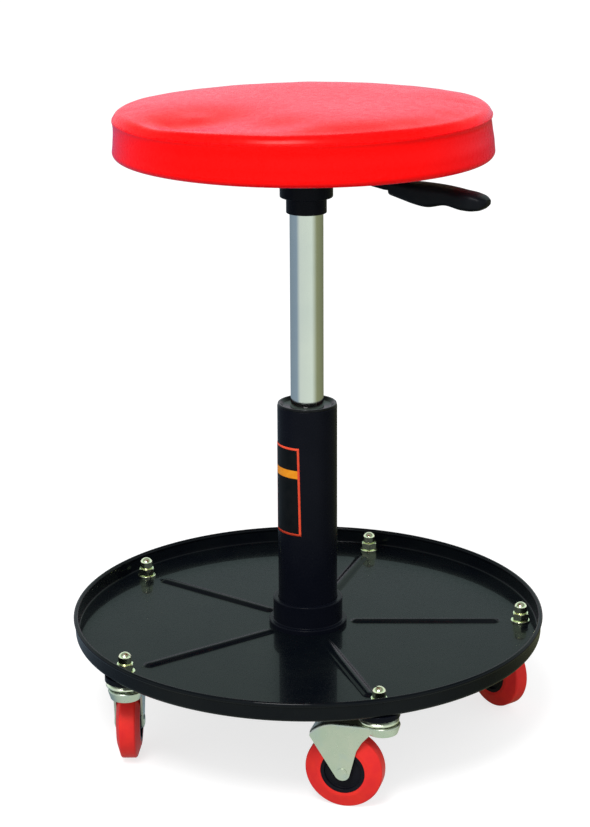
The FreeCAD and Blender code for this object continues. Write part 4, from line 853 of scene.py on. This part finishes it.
def makeLeverHandle(values):
    # Superellipse sections |x/a|^n + |y/b|^n = 1 along the handle, closed at both ends.
    _, root, out = leverPath(values)
    first, share = values["rootEdge"]
    along = np.concatenate([[0.0, 0.0, first], *(np.linspace(*each) for each in values["sections"]), [1.0]])
    shares = values["along"]
    half = values["width"] / 2 * smoothTable(along, values["wide"], shares)
    top = values["rise"] * smoothTable(along, values["high"], shares)
    low = -values["drop"] * smoothTable(along, values["low"], shares)
    close = np.ones(len(along))
    close[0] = close[-1] = 0.0
    close[1] = share
    around = np.linspace(0, 2 * math.pi, stepsRound["grip"], endpoint=False)[None, :]
    power = 2 / values["squareness"]
    wave = np.sign(np.cos(around)) * np.abs(np.cos(around)) ** power
    lift = np.sign(np.sin(around)) * np.abs(np.sin(around)) ** power
    across = half[:, None] * wave * close[:, None]
    middle = ((top + low) / 2)[:, None]
    height = middle + ((top - low) / 2)[:, None] * lift * close[:, None]
    upward = np.array([-out[1], out[0]])
    points = root + (along * values["length"])[:, None, None] * out + height[..., None] * upward
    return settleMesh(gridMesh("leverHandle", inLeverPlane(points, across, values) * mm, wrapColumns=True))


makePiece("lever_bent_rod", makeLeverRod(leverShape), "lever", material["framePaint"],
          ("lever_rod",), 50)
makePiece("lever_grip", makeLeverHandle(leverShape), "lever", material["handlePlastic"],
          ("lever_handle",), 50)
print("lever bent")


# The neck under the seat: a stepped socket with a slot for the lever cut through its side.

socketShape = {
    "corners": [
        (14.05, 449.05, 0.4), (16.8, 449.05, 0.6), (16.8, 462.05, 0.8), (22.0, 462.05, 1.0),
        (22.0, 495.2, 0.3), (14.2, 495.2, 0.2), (14.2, 474.3, 0.2), (13.2, 474.3, 0.0),
    ],
    "slotWidth": 9.8, "slotFoot": 477.05, "slotTop": 490.05, "slotReach": (6.0, 30.0), "turn": -30.0,
}


def makeSocket(values):
    # The slot is cut by an upright slab that starts inside the bore and leaves by the side.
    mesh = turnedMesh("taperSocket", softProfile(values["corners"]), stepsRound["socket"])
    piece = makePiece("neck_socket", mesh, "seat", material["framePaint"],
                      ("taper_socket",), 0)
    half = values["slotWidth"] / 2
    foot, top = values["slotFoot"], values["slotTop"]
    turn = math.radians(values["turn"])
    corners = np.array([(x, y, z) for x in values["slotReach"] for y in (-half, half) for z in (foot, top)])
    turned = np.stack([
        corners[:, 0] * math.cos(turn) - corners[:, 1] * math.sin(turn),
        corners[:, 0] * math.sin(turn) + corners[:, 1] * math.cos(turn), corners[:, 2]], axis=1)
    faces = [(0, 1, 3, 2), (4, 6, 7, 5), (0, 4, 5, 1), (2, 3, 7, 6), (0, 2, 6, 4), (1, 5, 7, 3)]
    slab = bpy.data.meshes.new("slotCutter")
    slab.from_pydata(turned * mm, [], faces)
    cutter = placeObject("slotCutter", settleMesh(slab))
    cut = piece.modifiers.new("slot", "BOOLEAN")
    cut.object = cutter
    cut.solver = "EXACT"
    bpy.context.view_layer.update()
    shaped = shapedMesh(piece)
    piece.modifiers.clear()
    piece.data = smoothMesh(shaped)
    bpy.data.objects.remove(cutter)


makeSocket(socketShape)
print("socket turned")


# The cushion. One outline serves the top panel, the side band and the foam under them. It
# has been sat on: it leans to the left over its board, and has sunk at the left front.

cushionShape = {
    "boardFoot": 498.25, "side": 153.4, "draw": 0.9, "corner": 5.0, "edge": 7.5, "gauge": 1.2,
    "seam": 529.05, "seamStand": 0.35, "seamLip": 0.9, "crownTop": 541.05, "crownFlat": 60.0,
    "turnIn": 25.0, "boardTop": 510.25, "around": 720, "flatSteps": 26, "bendSteps": 14,
    "seamGap": 0.03, "lipRound": 0.5, "lipEdge": 0.2, "lipRoot": (0.2, 0.35), "lipClear": 0.3,
    "innerClear": 0.2, "underStep": 2.0, "foamGap": 0.3, "foamLift": 0.1, "foamClear": 0.4,
    "bulge": 4.4, "grow": 0.6, "lean": 3.1, "leanFoot": 509.0, "leanTop": 525.0, "tilt": 0.0105,
    "notch": 1.0, "notchHeight": 526.5, "notchSpread": 2.6, "rimInset": (14.0, 6.0),
    "joinAngle": -102.0, "joinDepth": 0.45, "joinWidth": 1.1,
    "sinkHeight": (521.0, 538.05), "sinkInset": (26.0, 2.0), "edgeSink": 0.3,
}
hollows = [   # middle, radius and depth; a negative depth is a low mound
    ((-76.0, -80.0), 42.0, 7.4), ((-114.0, -86.0), 24.0, 3.0), ((-22.0, -114.0), 26.0, 3.0),
    ((-84.0, -60.0), 14.0, -1.4), ((40.0, 20.0), 70.0, 0.6), ((-100.0, 40.0), 34.0, 0.4),
    ((130.0, 34.0), 40.0, -2.4), ((-84.0, 92.0), 56.0, 1.3), ((50.0, -120.0), 44.0, -1.0),
]


def crownProfile(values, inset, steps):
    # (radius, height) from the middle outwards over the flat, the crown's arc and the
    # edge's arc down to the seam, all moved in by the inset. The crown leaves the flat level
    # and meets the edge's arc of radius e at a tangent: over a reach r and a drop d its own
    # radius is (r^2 + d^2 - e^2) / (2 (d - e)).
    edge, side, seam = values["edge"], values["side"], values["seam"]
    centre = side - edge
    reach = centre - values["crownFlat"]
    drop = values["crownTop"] - seam
    crown = (reach ** 2 + drop ** 2 - edge ** 2) / 2 / (drop - edge)
    crownCentre = np.array([values["crownFlat"], values["crownTop"] - crown])
    sweep = math.degrees(math.asin(reach / (crown - edge)))
    flat = np.stack([np.linspace(0, values["crownFlat"], values["flatSteps"]),
                     np.full(values["flatSteps"], values["crownTop"] - inset)], axis=1)
    slope = arcPoints(crownCentre, crown - inset, 90, 90 - sweep, steps)
    bend = arcPoints((centre, seam), edge - inset, 90 - sweep, 0, values["bendSteps"])
    return np.vstack([flat[:-1], slope, bend[1:]])


def bandProfile(values, inset, steps):
    # (radius, height) from under the seam down the drawn-in side, round the corner and in
    # under the board. The side bows in by draw over half its height h, on an arc of radius
    # (h^2 / draw + draw) / 2.
    side, draw, corner = values["side"], values["draw"], values["corner"]
    foot = values["boardFoot"] - values["gauge"]
    lip = values["seam"] - values["seamLip"]
    half = (lip - foot - corner) / 2
    bow = (half * half / draw + draw) / 2
    centre = side - draw + bow
    middle = foot + corner + half
    height = np.linspace(lip, foot + corner, steps)
    drawn = np.stack([centre - np.sqrt((bow + inset) ** 2 - (height - middle) ** 2), height], axis=1)
    bend = arcPoints((side - corner, foot + corner), corner - inset, 0, -90, 8)
    under = np.array([[side - corner - values["underStep"], foot + inset],
                      [side - values["turnIn"], foot + inset]])
    return np.vstack([drawn, bend[1:], under])


def easeStep(value, low, high):
    # 0 below the low end, 1 above the high one, 3 t^2 - 2 t^3 between them.
    t = np.clip((value - low) / (high - low), 0, 1)
    return t * t * (3 - 2 * t)


def sunkDepth(x, y):
    # How far the foam has sunk, in mm: the sum of depth exp(-d^2 / r^2) over the hollows.
    return sum(depth * np.exp(-((x - centre[0]) ** 2 + (y - centre[1]) ** 2) / size ** 2)
               for centre, size, depth in hollows)


def restCushion(mesh, values, puff=None):
    # Moves a cushion mesh from its turned shape to its used one. Out from the middle, with
    # c the cosine of the angle from the right: bulge (1 - c) / 2 beside the board, and
    # grow - lean c above it, less a notch under the seam on the right. The top falls by the
    # sunk depth, at its edge by a share of it, and tilts up to the right. The band's closing
    # join is a narrow groove, and last comes the cloth's own movement.
    points = pointsOf(mesh) / mm
    x, y, z = points.T.copy()
    radius = np.maximum(np.hypot(x, y), 1e-6)
    cosine = x / radius
    high = easeStep(z, values["leanFoot"], values["leanTop"])
    low = values["bulge"] * (1 - cosine) / 2
    out = (low + (values["grow"] - values["lean"] * cosine - low) * high) * radius / values["side"]
    notch = values["notch"] * np.exp(-((z - values["notchHeight"]) / values["notchSpread"]) ** 2)
    rim = easeStep(radius, *(values["side"] - inset for inset in values["rimInset"]))
    out = out - notch * rim * np.maximum(cosine, 0) ** 2
    turn = np.arctan2(y, x) - math.radians(values["joinAngle"])
    beside = (turn + math.pi) % (2 * math.pi) - math.pi
    groove = np.exp(-(beside * values["side"] / values["joinWidth"]) ** 2)
    out = out - values["joinDepth"] * groove * rim * (z < values["seam"])
    sink = easeStep(z, *values["sinkHeight"])
    middle = 1 - easeStep(radius, *(values["side"] - inset for inset in values["sinkInset"]))
    edgeSink = values["edgeSink"]
    z = z + high * values["tilt"] * x - sink * sunkDepth(x, y) * (edgeSink + (1 - edgeSink) * middle)
    moved = np.stack([x + out * cosine, y + out * y / radius, z], axis=1)
    if puff is not None:
        moved = moved + puff(points)
    mesh.vertices.foreach_set("co", (moved * mm).ravel())
    mesh.update()
    return mesh


# The cover is blown up as cloth over its used shape, and what moves is kept as a table.

clothShape = {
    "voxel": 6.0, "around": 96, "frames": 20, "pressure": 4.0, "mass": 0.25, "quality": 6,
    "stiffness": 12.0, "bending": 1.5, "cap": 1.4, "heldBelow": 506.0, "heldEase": 8.0,
    "seamHold": 0.9, "seamWidth": 3.0, "shrink": 0.996,
    # the table: its cells, its reach in sides, the side's levels, how far over the seam the
    # top panel starts, and where its movement takes over from the side's
    "cell": 7.0, "reach": 1.1, "levels": 4, "topStart": 1.0, "topBlend": (-1.0, 4.0),
}


def heldShare(z, cloth, values):
    # Where the cloth is held: under and beside the board, and softly along the seam, by
    # hold exp(-(distance / width)^2).
    board = 1 - easeStep(z, cloth["heldBelow"], cloth["heldBelow"] + cloth["heldEase"])
    seam = cloth["seamHold"] * np.exp(-((z - values["seam"]) / cloth["seamWidth"]) ** 2)
    return np.maximum(board, seam)


def blownCover(cloth, values):
    # Runs the cloth and returns each point's start and its movement, both in mm. A length
    # of l is drawn in to cap tanh(l / cap), so no point moves further than the cap.
    outline = np.vstack([crownProfile(values, 0.0, 20), bandProfile(values, 0.0, 12)])
    outline = np.vstack([outline, [[0.0, outline[-1, 1]]]])
    outline[0, 0] = 0.0
    skin = turnedMesh("coverSkin", outline * cloth["shrink"] + [0, values["seam"] * (1 - cloth["shrink"])],
                      cloth["around"], False)
    piece = placeObject("coverSkin", skin)
    remesh = piece.modifiers.new("even", "REMESH")
    remesh.mode = "VOXEL"
    remesh.voxel_size = cloth["voxel"] * mm
    bpy.context.view_layer.update()
    even = shapedMesh(piece)
    piece.modifiers.clear()
    before = pointsOf(even) / mm
    piece.data = restCushion(even, values)
    rested = pointsOf(even)
    share = np.round(heldShare(before[:, 2], cloth, values), 1)
    group = piece.vertex_groups.new(name="held")
    for level in np.unique(share):
        group.add(np.flatnonzero(share == level).tolist(), float(level), "REPLACE")
    modifier = piece.modifiers.new("cloth", "CLOTH")
    settings = modifier.settings
    settings.quality = cloth["quality"]
    settings.mass = cloth["mass"]
    settings.tension_stiffness = cloth["stiffness"]
    settings.compression_stiffness = cloth["stiffness"]
    settings.bending_stiffness = cloth["bending"]
    settings.use_pressure = True
    settings.uniform_pressure_force = cloth["pressure"]
    settings.vertex_group_mass = "held"
    settings.effector_weights.gravity = 0
    for number in range(1, cloth["frames"] + 1):
        bpy.context.scene.frame_set(number)
    after = pointsOf(shapedMesh(piece))
    bpy.context.scene.frame_set(1)
    bpy.data.objects.remove(piece)
    move = (after - rested) / mm
    length = np.maximum(np.linalg.norm(move, axis=1), 1e-9)[:, None]
    print("cloth moved %d points, %.2f mm at most" % (len(move), length.max()))
    return before, move * np.tanh(length / cloth["cap"]) * cloth["cap"] / length


def blurred(table, steps=2):
    # Each cell becomes a quarter of both its neighbours and a half of itself, along x and y.
    for _ in range(steps):
        for axis in (0, 1):
            table = (np.roll(table, 1, axis) + 2 * table + np.roll(table, -1, axis)) / 4
    return table


def makePuff(cloth, values):
    # Averages the cloth's movement over square cells, apart for the top panel and for each
    # level of the side, and returns a function that reads it back between cells and levels.
    before, move = blownCover(cloth, values)
    cell, levels = cloth["cell"], cloth["levels"]
    half = int(values["side"] * cloth["reach"] / cell)
    size = 2 * half + 1

    def cellPlace(points):
        return points[:, 0] / cell + half, points[:, 1] / cell + half

    def levelOf(z):
        # 0 at the board's foot, the side's last level at the seam; the top panel is one more.
        share = np.clip((z - values["boardFoot"]) / (values["seam"] - values["boardFoot"]), 0, 1)
        return share * (levels - 1)

    column, row = (np.rint(value).astype(int) for value in cellPlace(before))
    above = before[:, 2] > values["seam"] + cloth["topStart"]
    level = np.where(above, levels, np.rint(levelOf(before[:, 2])).astype(int))
    tables = []
    for number in range(levels + 1):
        own = level == number
        count = np.zeros((size, size))
        total = np.zeros((size, size, 3))
        np.add.at(count, (column[own], row[own]), 1)
        np.add.at(total, (column[own], row[own]), move[own])
        count = blurred(count)
        tables.append(blurred(total) / np.maximum(count, 1e-6)[..., None])

    def readTable(table, points):
        column, row = cellPlace(points)
        i = np.clip(np.floor(column).astype(int), 0, size - 2)
        j = np.clip(np.floor(row).astype(int), 0, size - 2)
        u, v = (column - i)[:, None], (row - j)[:, None]
        return ((1 - u) * (1 - v) * table[i, j] + u * (1 - v) * table[i + 1, j]
                + (1 - u) * v * table[i, j + 1] + u * v * table[i + 1, j + 1])

    def puff(points):
        z = points[:, 2]
        side = levelOf(z)
        floor = np.clip(np.floor(side).astype(int), 0, levels - 2)
        reads = np.stack([readTable(table, points) for table in tables[:levels]])
        which = np.arange(len(points))
        mix = (side - floor)[:, None]
        beside = (1 - mix) * reads[floor, which] + mix * reads[floor + 1, which]
        top = easeStep(z, *(values["seam"] + offset for offset in cloth["topBlend"]))[:, None]
        return (1 - top) * beside + top * readTable(tables[levels], points)

    return puff


def makeCoverTop(values):
    # The crown's outer profile down to the seam, the rolled lip there, and the inner
    # profile back, one gauge inside.
    outer = crownProfile(values, 0.0, 40)
    inner = crownProfile(values, values["gauge"], 40)[::-1]
    lip = values["side"] + values["seamStand"]
    foot, tall = values["seam"] + values["seamGap"], values["seam"] + values["seamLip"]
    keep = outer[outer[:, 1] > tall + values["lipClear"]]
    depth, rootRound = values["lipRoot"]
    rolled = softProfile([
        (keep[-1][0], keep[-1][1], 0), (values["side"] - depth, tall, rootRound),
        (lip, tall, values["lipRound"]), (lip, foot, values["lipEdge"]),
        (values["side"] - values["gauge"], foot, 0)], closed=False)
    profile = np.vstack([keep, rolled[1:], inner[inner[:, 1] > values["seam"] + values["innerClear"]]])
    profile[0, 0] = profile[-1, 0] = 0.0
    return turnedMesh("coverTop", profile, values["around"] // 2, False)


def makeCoverBand(values):
    # The lip under the seam, the band's outer profile to its turned-in edge, and the inner
    # profile back, one gauge inside.
    outer = bandProfile(values, 0.0, 18)
    inner = bandProfile(values, values["gauge"], 18)[::-1]
    lip = values["side"] + values["seamStand"]
    top, foot = values["seam"] - values["seamGap"], values["seam"] - values["seamLip"]
    start = softProfile([
        (values["side"] - values["gauge"], top, 0), (lip, top, values["lipEdge"]),
        (lip, foot, values["lipRound"]), (outer[1][0], outer[1][1], 0)], closed=False)
    profile = np.vstack([start, outer[2:], inner[:-1]])
    return turnedMesh("coverBand", profile, values["around"], True)


def makeFoam(values):
    # The cover's profiles moved in by its gauge, closed flat over the board.
    inset = values["gauge"] + values["foamGap"]
    level = values["boardTop"] + values["foamLift"]
    top = crownProfile(values, inset, 24)
    side = bandProfile(values, inset, 14)
    side = side[side[:, 1] > level + values["foamClear"]]
    foot = np.array([[side[-1][0], level], [0.0, level]])
    profile = np.vstack([top, side, foot])
    profile[0, 0] = 0.0
    return turnedMesh("seatFoam", profile, stepsRound["foam"], False)


puff = makePuff(clothShape, cushionShape)
coverTop = makePiece("cushion_top_panel", restCushion(makeCoverTop(cushionShape), cushionShape, puff),
                     "seat", material["redVinyl"], ("cover_top",), 40)
coverBand = makePiece("cushion_side_band", restCushion(makeCoverBand(cushionShape), cushionShape, puff),
                      "seat", material["redVinyl"], ("cover_band",), 40)
foam = makePiece("cushion_foam", restCushion(makeFoam(cushionShape), cushionShape, puff),
                 "seat", material["seatFoam"], ("seat_foam",), 40)
print("cushion covered")


# A film label on the column: a border and one band.

labelShape = {
    "radius": 25.52, "thick": 0.12, "foot": 174.8, "top": 252.8, "start": -178.0,
    "endLow": -101.9, "endHigh": -105.6, "border": 1.9, "bandFoot": 0.655, "bandTop": 0.745,
    "rows": 40, "columns": 26, "wornScale": 160.0, "roughness": (0.30, 0.42), "gloss": 0.08,
    "orange": ((0.85, 0.33, 0.02), (0.75, 0.24, 0.01)), "red": ((0.80, 0.09, 0.035), (0.70, 0.06, 0.03)),
    "dark": ((0.003, 0.004, 0.005), (0.005, 0.006, 0.007)),
}


def makeLabelFilm(values):
    # The film's colour follows its own map: u runs round the column, v up it. The border is
    # where either is within a border's width of its end.
    film, tree, surface = newMaterial("labelFilm")
    across = math.radians(values["endHigh"] - values["start"]) * values["radius"]
    tall = values["top"] - values["foot"]
    place = addNode(tree, "ShaderNodeUVMap", uv_map="film").outputs[0]
    parts = addNode(tree, "ShaderNodeSeparateXYZ", {"Vector": place})
    u, v = parts.outputs[0], parts.outputs[1]
    edgeU, edgeV = values["border"] / across, values["border"] / tall

    def over(value, limit):
        return maths(tree, "GREATER_THAN", value, limit)

    inside = maths(tree, "MULTIPLY", over(u, edgeU), over(v, edgeV))
    past = maths(tree, "MAXIMUM", over(u, 1 - edgeU), over(v, 1 - edgeV))
    field = addNode(tree, "ShaderNodeClamp", {"Value": maths(tree, "SUBTRACT", inside, past)}).outputs[0]
    band = maths(tree, "SUBTRACT", over(v, values["bandFoot"]), over(v, values["bandTop"]))
    worn = noiseOf(tree, addNode(tree, "ShaderNodeTexCoord").outputs["Object"], values["wornScale"])
    ink = {name: mixShades(tree, spread(tree, worn, 0, 1), *(paint(*shade) for shade in values[name]))
           for name in ("orange", "red", "dark")}
    inner = mixShades(tree, band, ink["dark"], ink["orange"])
    tree.links.new(mixShades(tree, field, ink["red"], inner), surface.inputs["Base Color"])
    tree.links.new(spread(tree, worn, *values["roughness"]), surface.inputs["Roughness"])
    surface.inputs["Specular IOR Level"].default_value = values["gloss"]
    return film


def makeLabel(values):
    # A strip of film bent round the column: angle runs with u from the start to an end
    # that leans a little from the foot to the top, since the film is laid on askew.
    u = np.linspace(0, 1, values["columns"])[None, :]
    v = np.linspace(0, 1, values["rows"])[:, None]
    end = values["endLow"] + (values["endHigh"] - values["endLow"]) * v
    angle = np.radians(values["start"] + (end - values["start"]) * u)
    height = values["foot"] + (values["top"] - values["foot"]) * v + 0 * u
    radius = values["radius"]
    grid = np.stack([radius * np.cos(angle), radius * np.sin(angle), height], axis=-1) * mm
    mesh = gridMesh("label", grid)
    index = np.zeros(len(mesh.loops), dtype=np.int32)
    mesh.loops.foreach_get("vertex_index", index)
    layer = mesh.uv_layers.new(name="film")
    table = np.stack([(u + 0 * v).ravel(), (v + 0 * u).ravel()], axis=1)
    layer.data.foreach_set("uv", table[index].astype(np.float32).ravel())
    return mesh


label = makePiece("column_label", makeLabel(labelShape), "base",
                  makeLabelFilm(labelShape), (), 30)
film = label.modifiers.new("film", "SOLIDIFY")
film.thickness = labelShape["thick"] * mm
film.offset = -1.0
print("label laid on")


# Floor and lights. The floor is white to the camera, keeps a soft shadow, and shows in
# glossy pieces as a pale sweep with a cool flag on the left and an olive one on the right.

studio = {
    "floorHalf": 14.0, "floorGlow": 0.74, "floorShade": 0.42, "floorMatt": 0.5,
    "flagStops": [(0.0, (0.20, 0.26, 0.31)), (0.30, (0.26, 0.34, 0.42)), (0.37, (0.66, 0.73, 0.67)),
                  (0.60, (0.72, 0.80, 0.71)), (0.70, (0.27, 0.29, 0.165)), (1.0, (0.14, 0.15, 0.09))],
    "skyFront": (-0.10, -0.90, 0.42), "skyBack": 0.12, "skySide": 0.66, "skyAhead": 1.05,
    "skyStops": [(0.0, (0.80, 0.80, 0.84)), (0.20, (0.84, 0.83, 0.90)), (0.25, (0.98, 0.84, 1.00)),
                 (0.33, (0.66, 0.88, 0.88)), (0.48, (0.72, 0.92, 0.78)), (0.60, (0.42, 0.50, 0.44)),
                 (0.75, 0.18), (1.0, 0.35)],
    "keyPlace": (-0.4, -1.45, 2.2), "keyAim": (0.0, 0.0, 0.3), "keySize": 0.9, "keyPower": 36.0,
}


def rampOf(tree, value, stops):
    # A colour ramp of (place, shade) stops; a single number is a grey.
    ramp = addNode(tree, "ShaderNodeValToRGB", {"Fac": value})
    elements = ramp.color_ramp.elements
    while len(elements) < len(stops):
        elements.new(0.5)
    for element, (place, shade) in zip(elements, stops):
        element.position = place
        element.color = paint(*shade) if isinstance(shade, tuple) else paint(shade, shade, shade)
    return ramp.outputs["Color"]


def azimuthShare(tree, x, y):
    # The angle atan2(x, -y) as a share: 0 behind on the left, a half in front, 1 behind on
    # the right.
    angle = maths(tree, "ARCTAN2", x, maths(tree, "MULTIPLY", y, -1.0))
    return spread(tree, angle, 0, 1, -math.pi, math.pi)


def byRay(tree, plain, mirrored, seen):
    # The mirrored shader for glossy and transmission rays, the seen one for the camera's,
    # and the plain one for the rest, which is the diffuse light.
    path = addNode(tree, "ShaderNodeLightPath")
    mirror = maths(tree, "MAXIMUM", path.outputs["Is Glossy Ray"], path.outputs["Is Transmission Ray"])
    first = addNode(tree, "ShaderNodeMixShader", {0: mirror, 1: plain, 2: mirrored}).outputs[0]
    inputs = {0: path.outputs["Is Camera Ray"], 1: first, 2: seen}
    return addNode(tree, "ShaderNodeMixShader", inputs).outputs[0]


def makeFloor(values):
    # A level square whose material differs by ray: matt in the object's light, the flags in
    # its mirrors, and white with a soft shadow to the camera.
    half = values["floorHalf"]
    u = np.linspace(-half, half, 9)
    x, y = np.meshgrid(u, u)
    mesh = gridMesh("studioFloor", np.stack([x, y, 0 * x], axis=-1))
    floor = placeObject("studioFloor", mesh)
    sweep, tree, surface = newMaterial("paleSweep")
    tree.nodes.remove(surface)
    place = addNode(tree, "ShaderNodeTexCoord").outputs["Object"]
    parts = addNode(tree, "ShaderNodeSeparateXYZ", {"Vector": place})
    share = azimuthShare(tree, parts.outputs[0], parts.outputs[1])
    flags = rampOf(tree, share, values["flagStops"])
    matt, shaded = (addNode(tree, "ShaderNodeBsdfDiffuse", {"Color": paint(*[values[name]] * 3)}).outputs[0]
                    for name in ("floorMatt", "floorShade"))
    glow, mirrored = (addNode(tree, "ShaderNodeEmission", {"Color": shade, "Strength": strength}).outputs[0]
                      for shade, strength in ((paint(1, 1, 1), values["floorGlow"]), (flags, 1.0)))
    seen = addNode(tree, "ShaderNodeAddShader", {0: shaded, 1: glow}).outputs[0]
    tree.links.new(byRay(tree, matt, mirrored, seen), tree.nodes["Material Output"].inputs["Surface"])
    mesh.materials.append(sweep)


def makeSky(values):
    # A world that differs by ray: its plain light is brightest ahead, by the way's part
    # along skyFront; its mirror image is a ramp over the height; to the camera it is white.
    world = bpy.data.worlds.new("softStudio")
    bpy.context.scene.world = world
    world.use_nodes = True
    tree = world.node_tree
    tree.nodes.remove(tree.nodes["Background"])
    way = addNode(tree, "ShaderNodeTexCoord").outputs["Generated"]
    parts = addNode(tree, "ShaderNodeSeparateXYZ", {"Vector": way})
    sky = rampOf(tree, parts.outputs[2], values["skyStops"])
    ahead = addNode(tree, "ShaderNodeVectorMath", {0: way, 1: values["skyFront"]}, operation="DOT_PRODUCT")
    ahead = spread(tree, ahead.outputs["Value"], 0, 1, -1, 1)
    stops = [(0.0, values["skyBack"]), (0.5, values["skySide"]), (1.0, values["skyAhead"])]
    shades = rampOf(tree, ahead, stops), sky, paint(1, 1, 1)
    plain, mirrored, seen = (addNode(tree, "ShaderNodeBackground", {"Color": shade}).outputs[0]
                             for shade in shades)
    tree.links.new(byRay(tree, plain, mirrored, seen), tree.nodes["World Output"].inputs["Surface"])


def makeLamp(name, place, aim, size, power):
    # A round lamp whose face looks along the line from its place to its aim.
    data = bpy.data.lights.new(name, "AREA")
    data.shape = "DISK"
    data.size = size
    data.energy = power
    lamp = placeObject(name, data)
    lamp.location = place
    lamp.rotation_euler = (Vector(aim) - Vector(place)).to_track_quat("-Z", "Y").to_euler()


makeFloor(studio)
makeSky(studio)
makeLamp("keyLamp", studio["keyPlace"], studio["keyAim"], studio["keySize"], studio["keyPower"])
bpy.context.scene.view_settings.view_transform = "Standard"
print("studio lit")
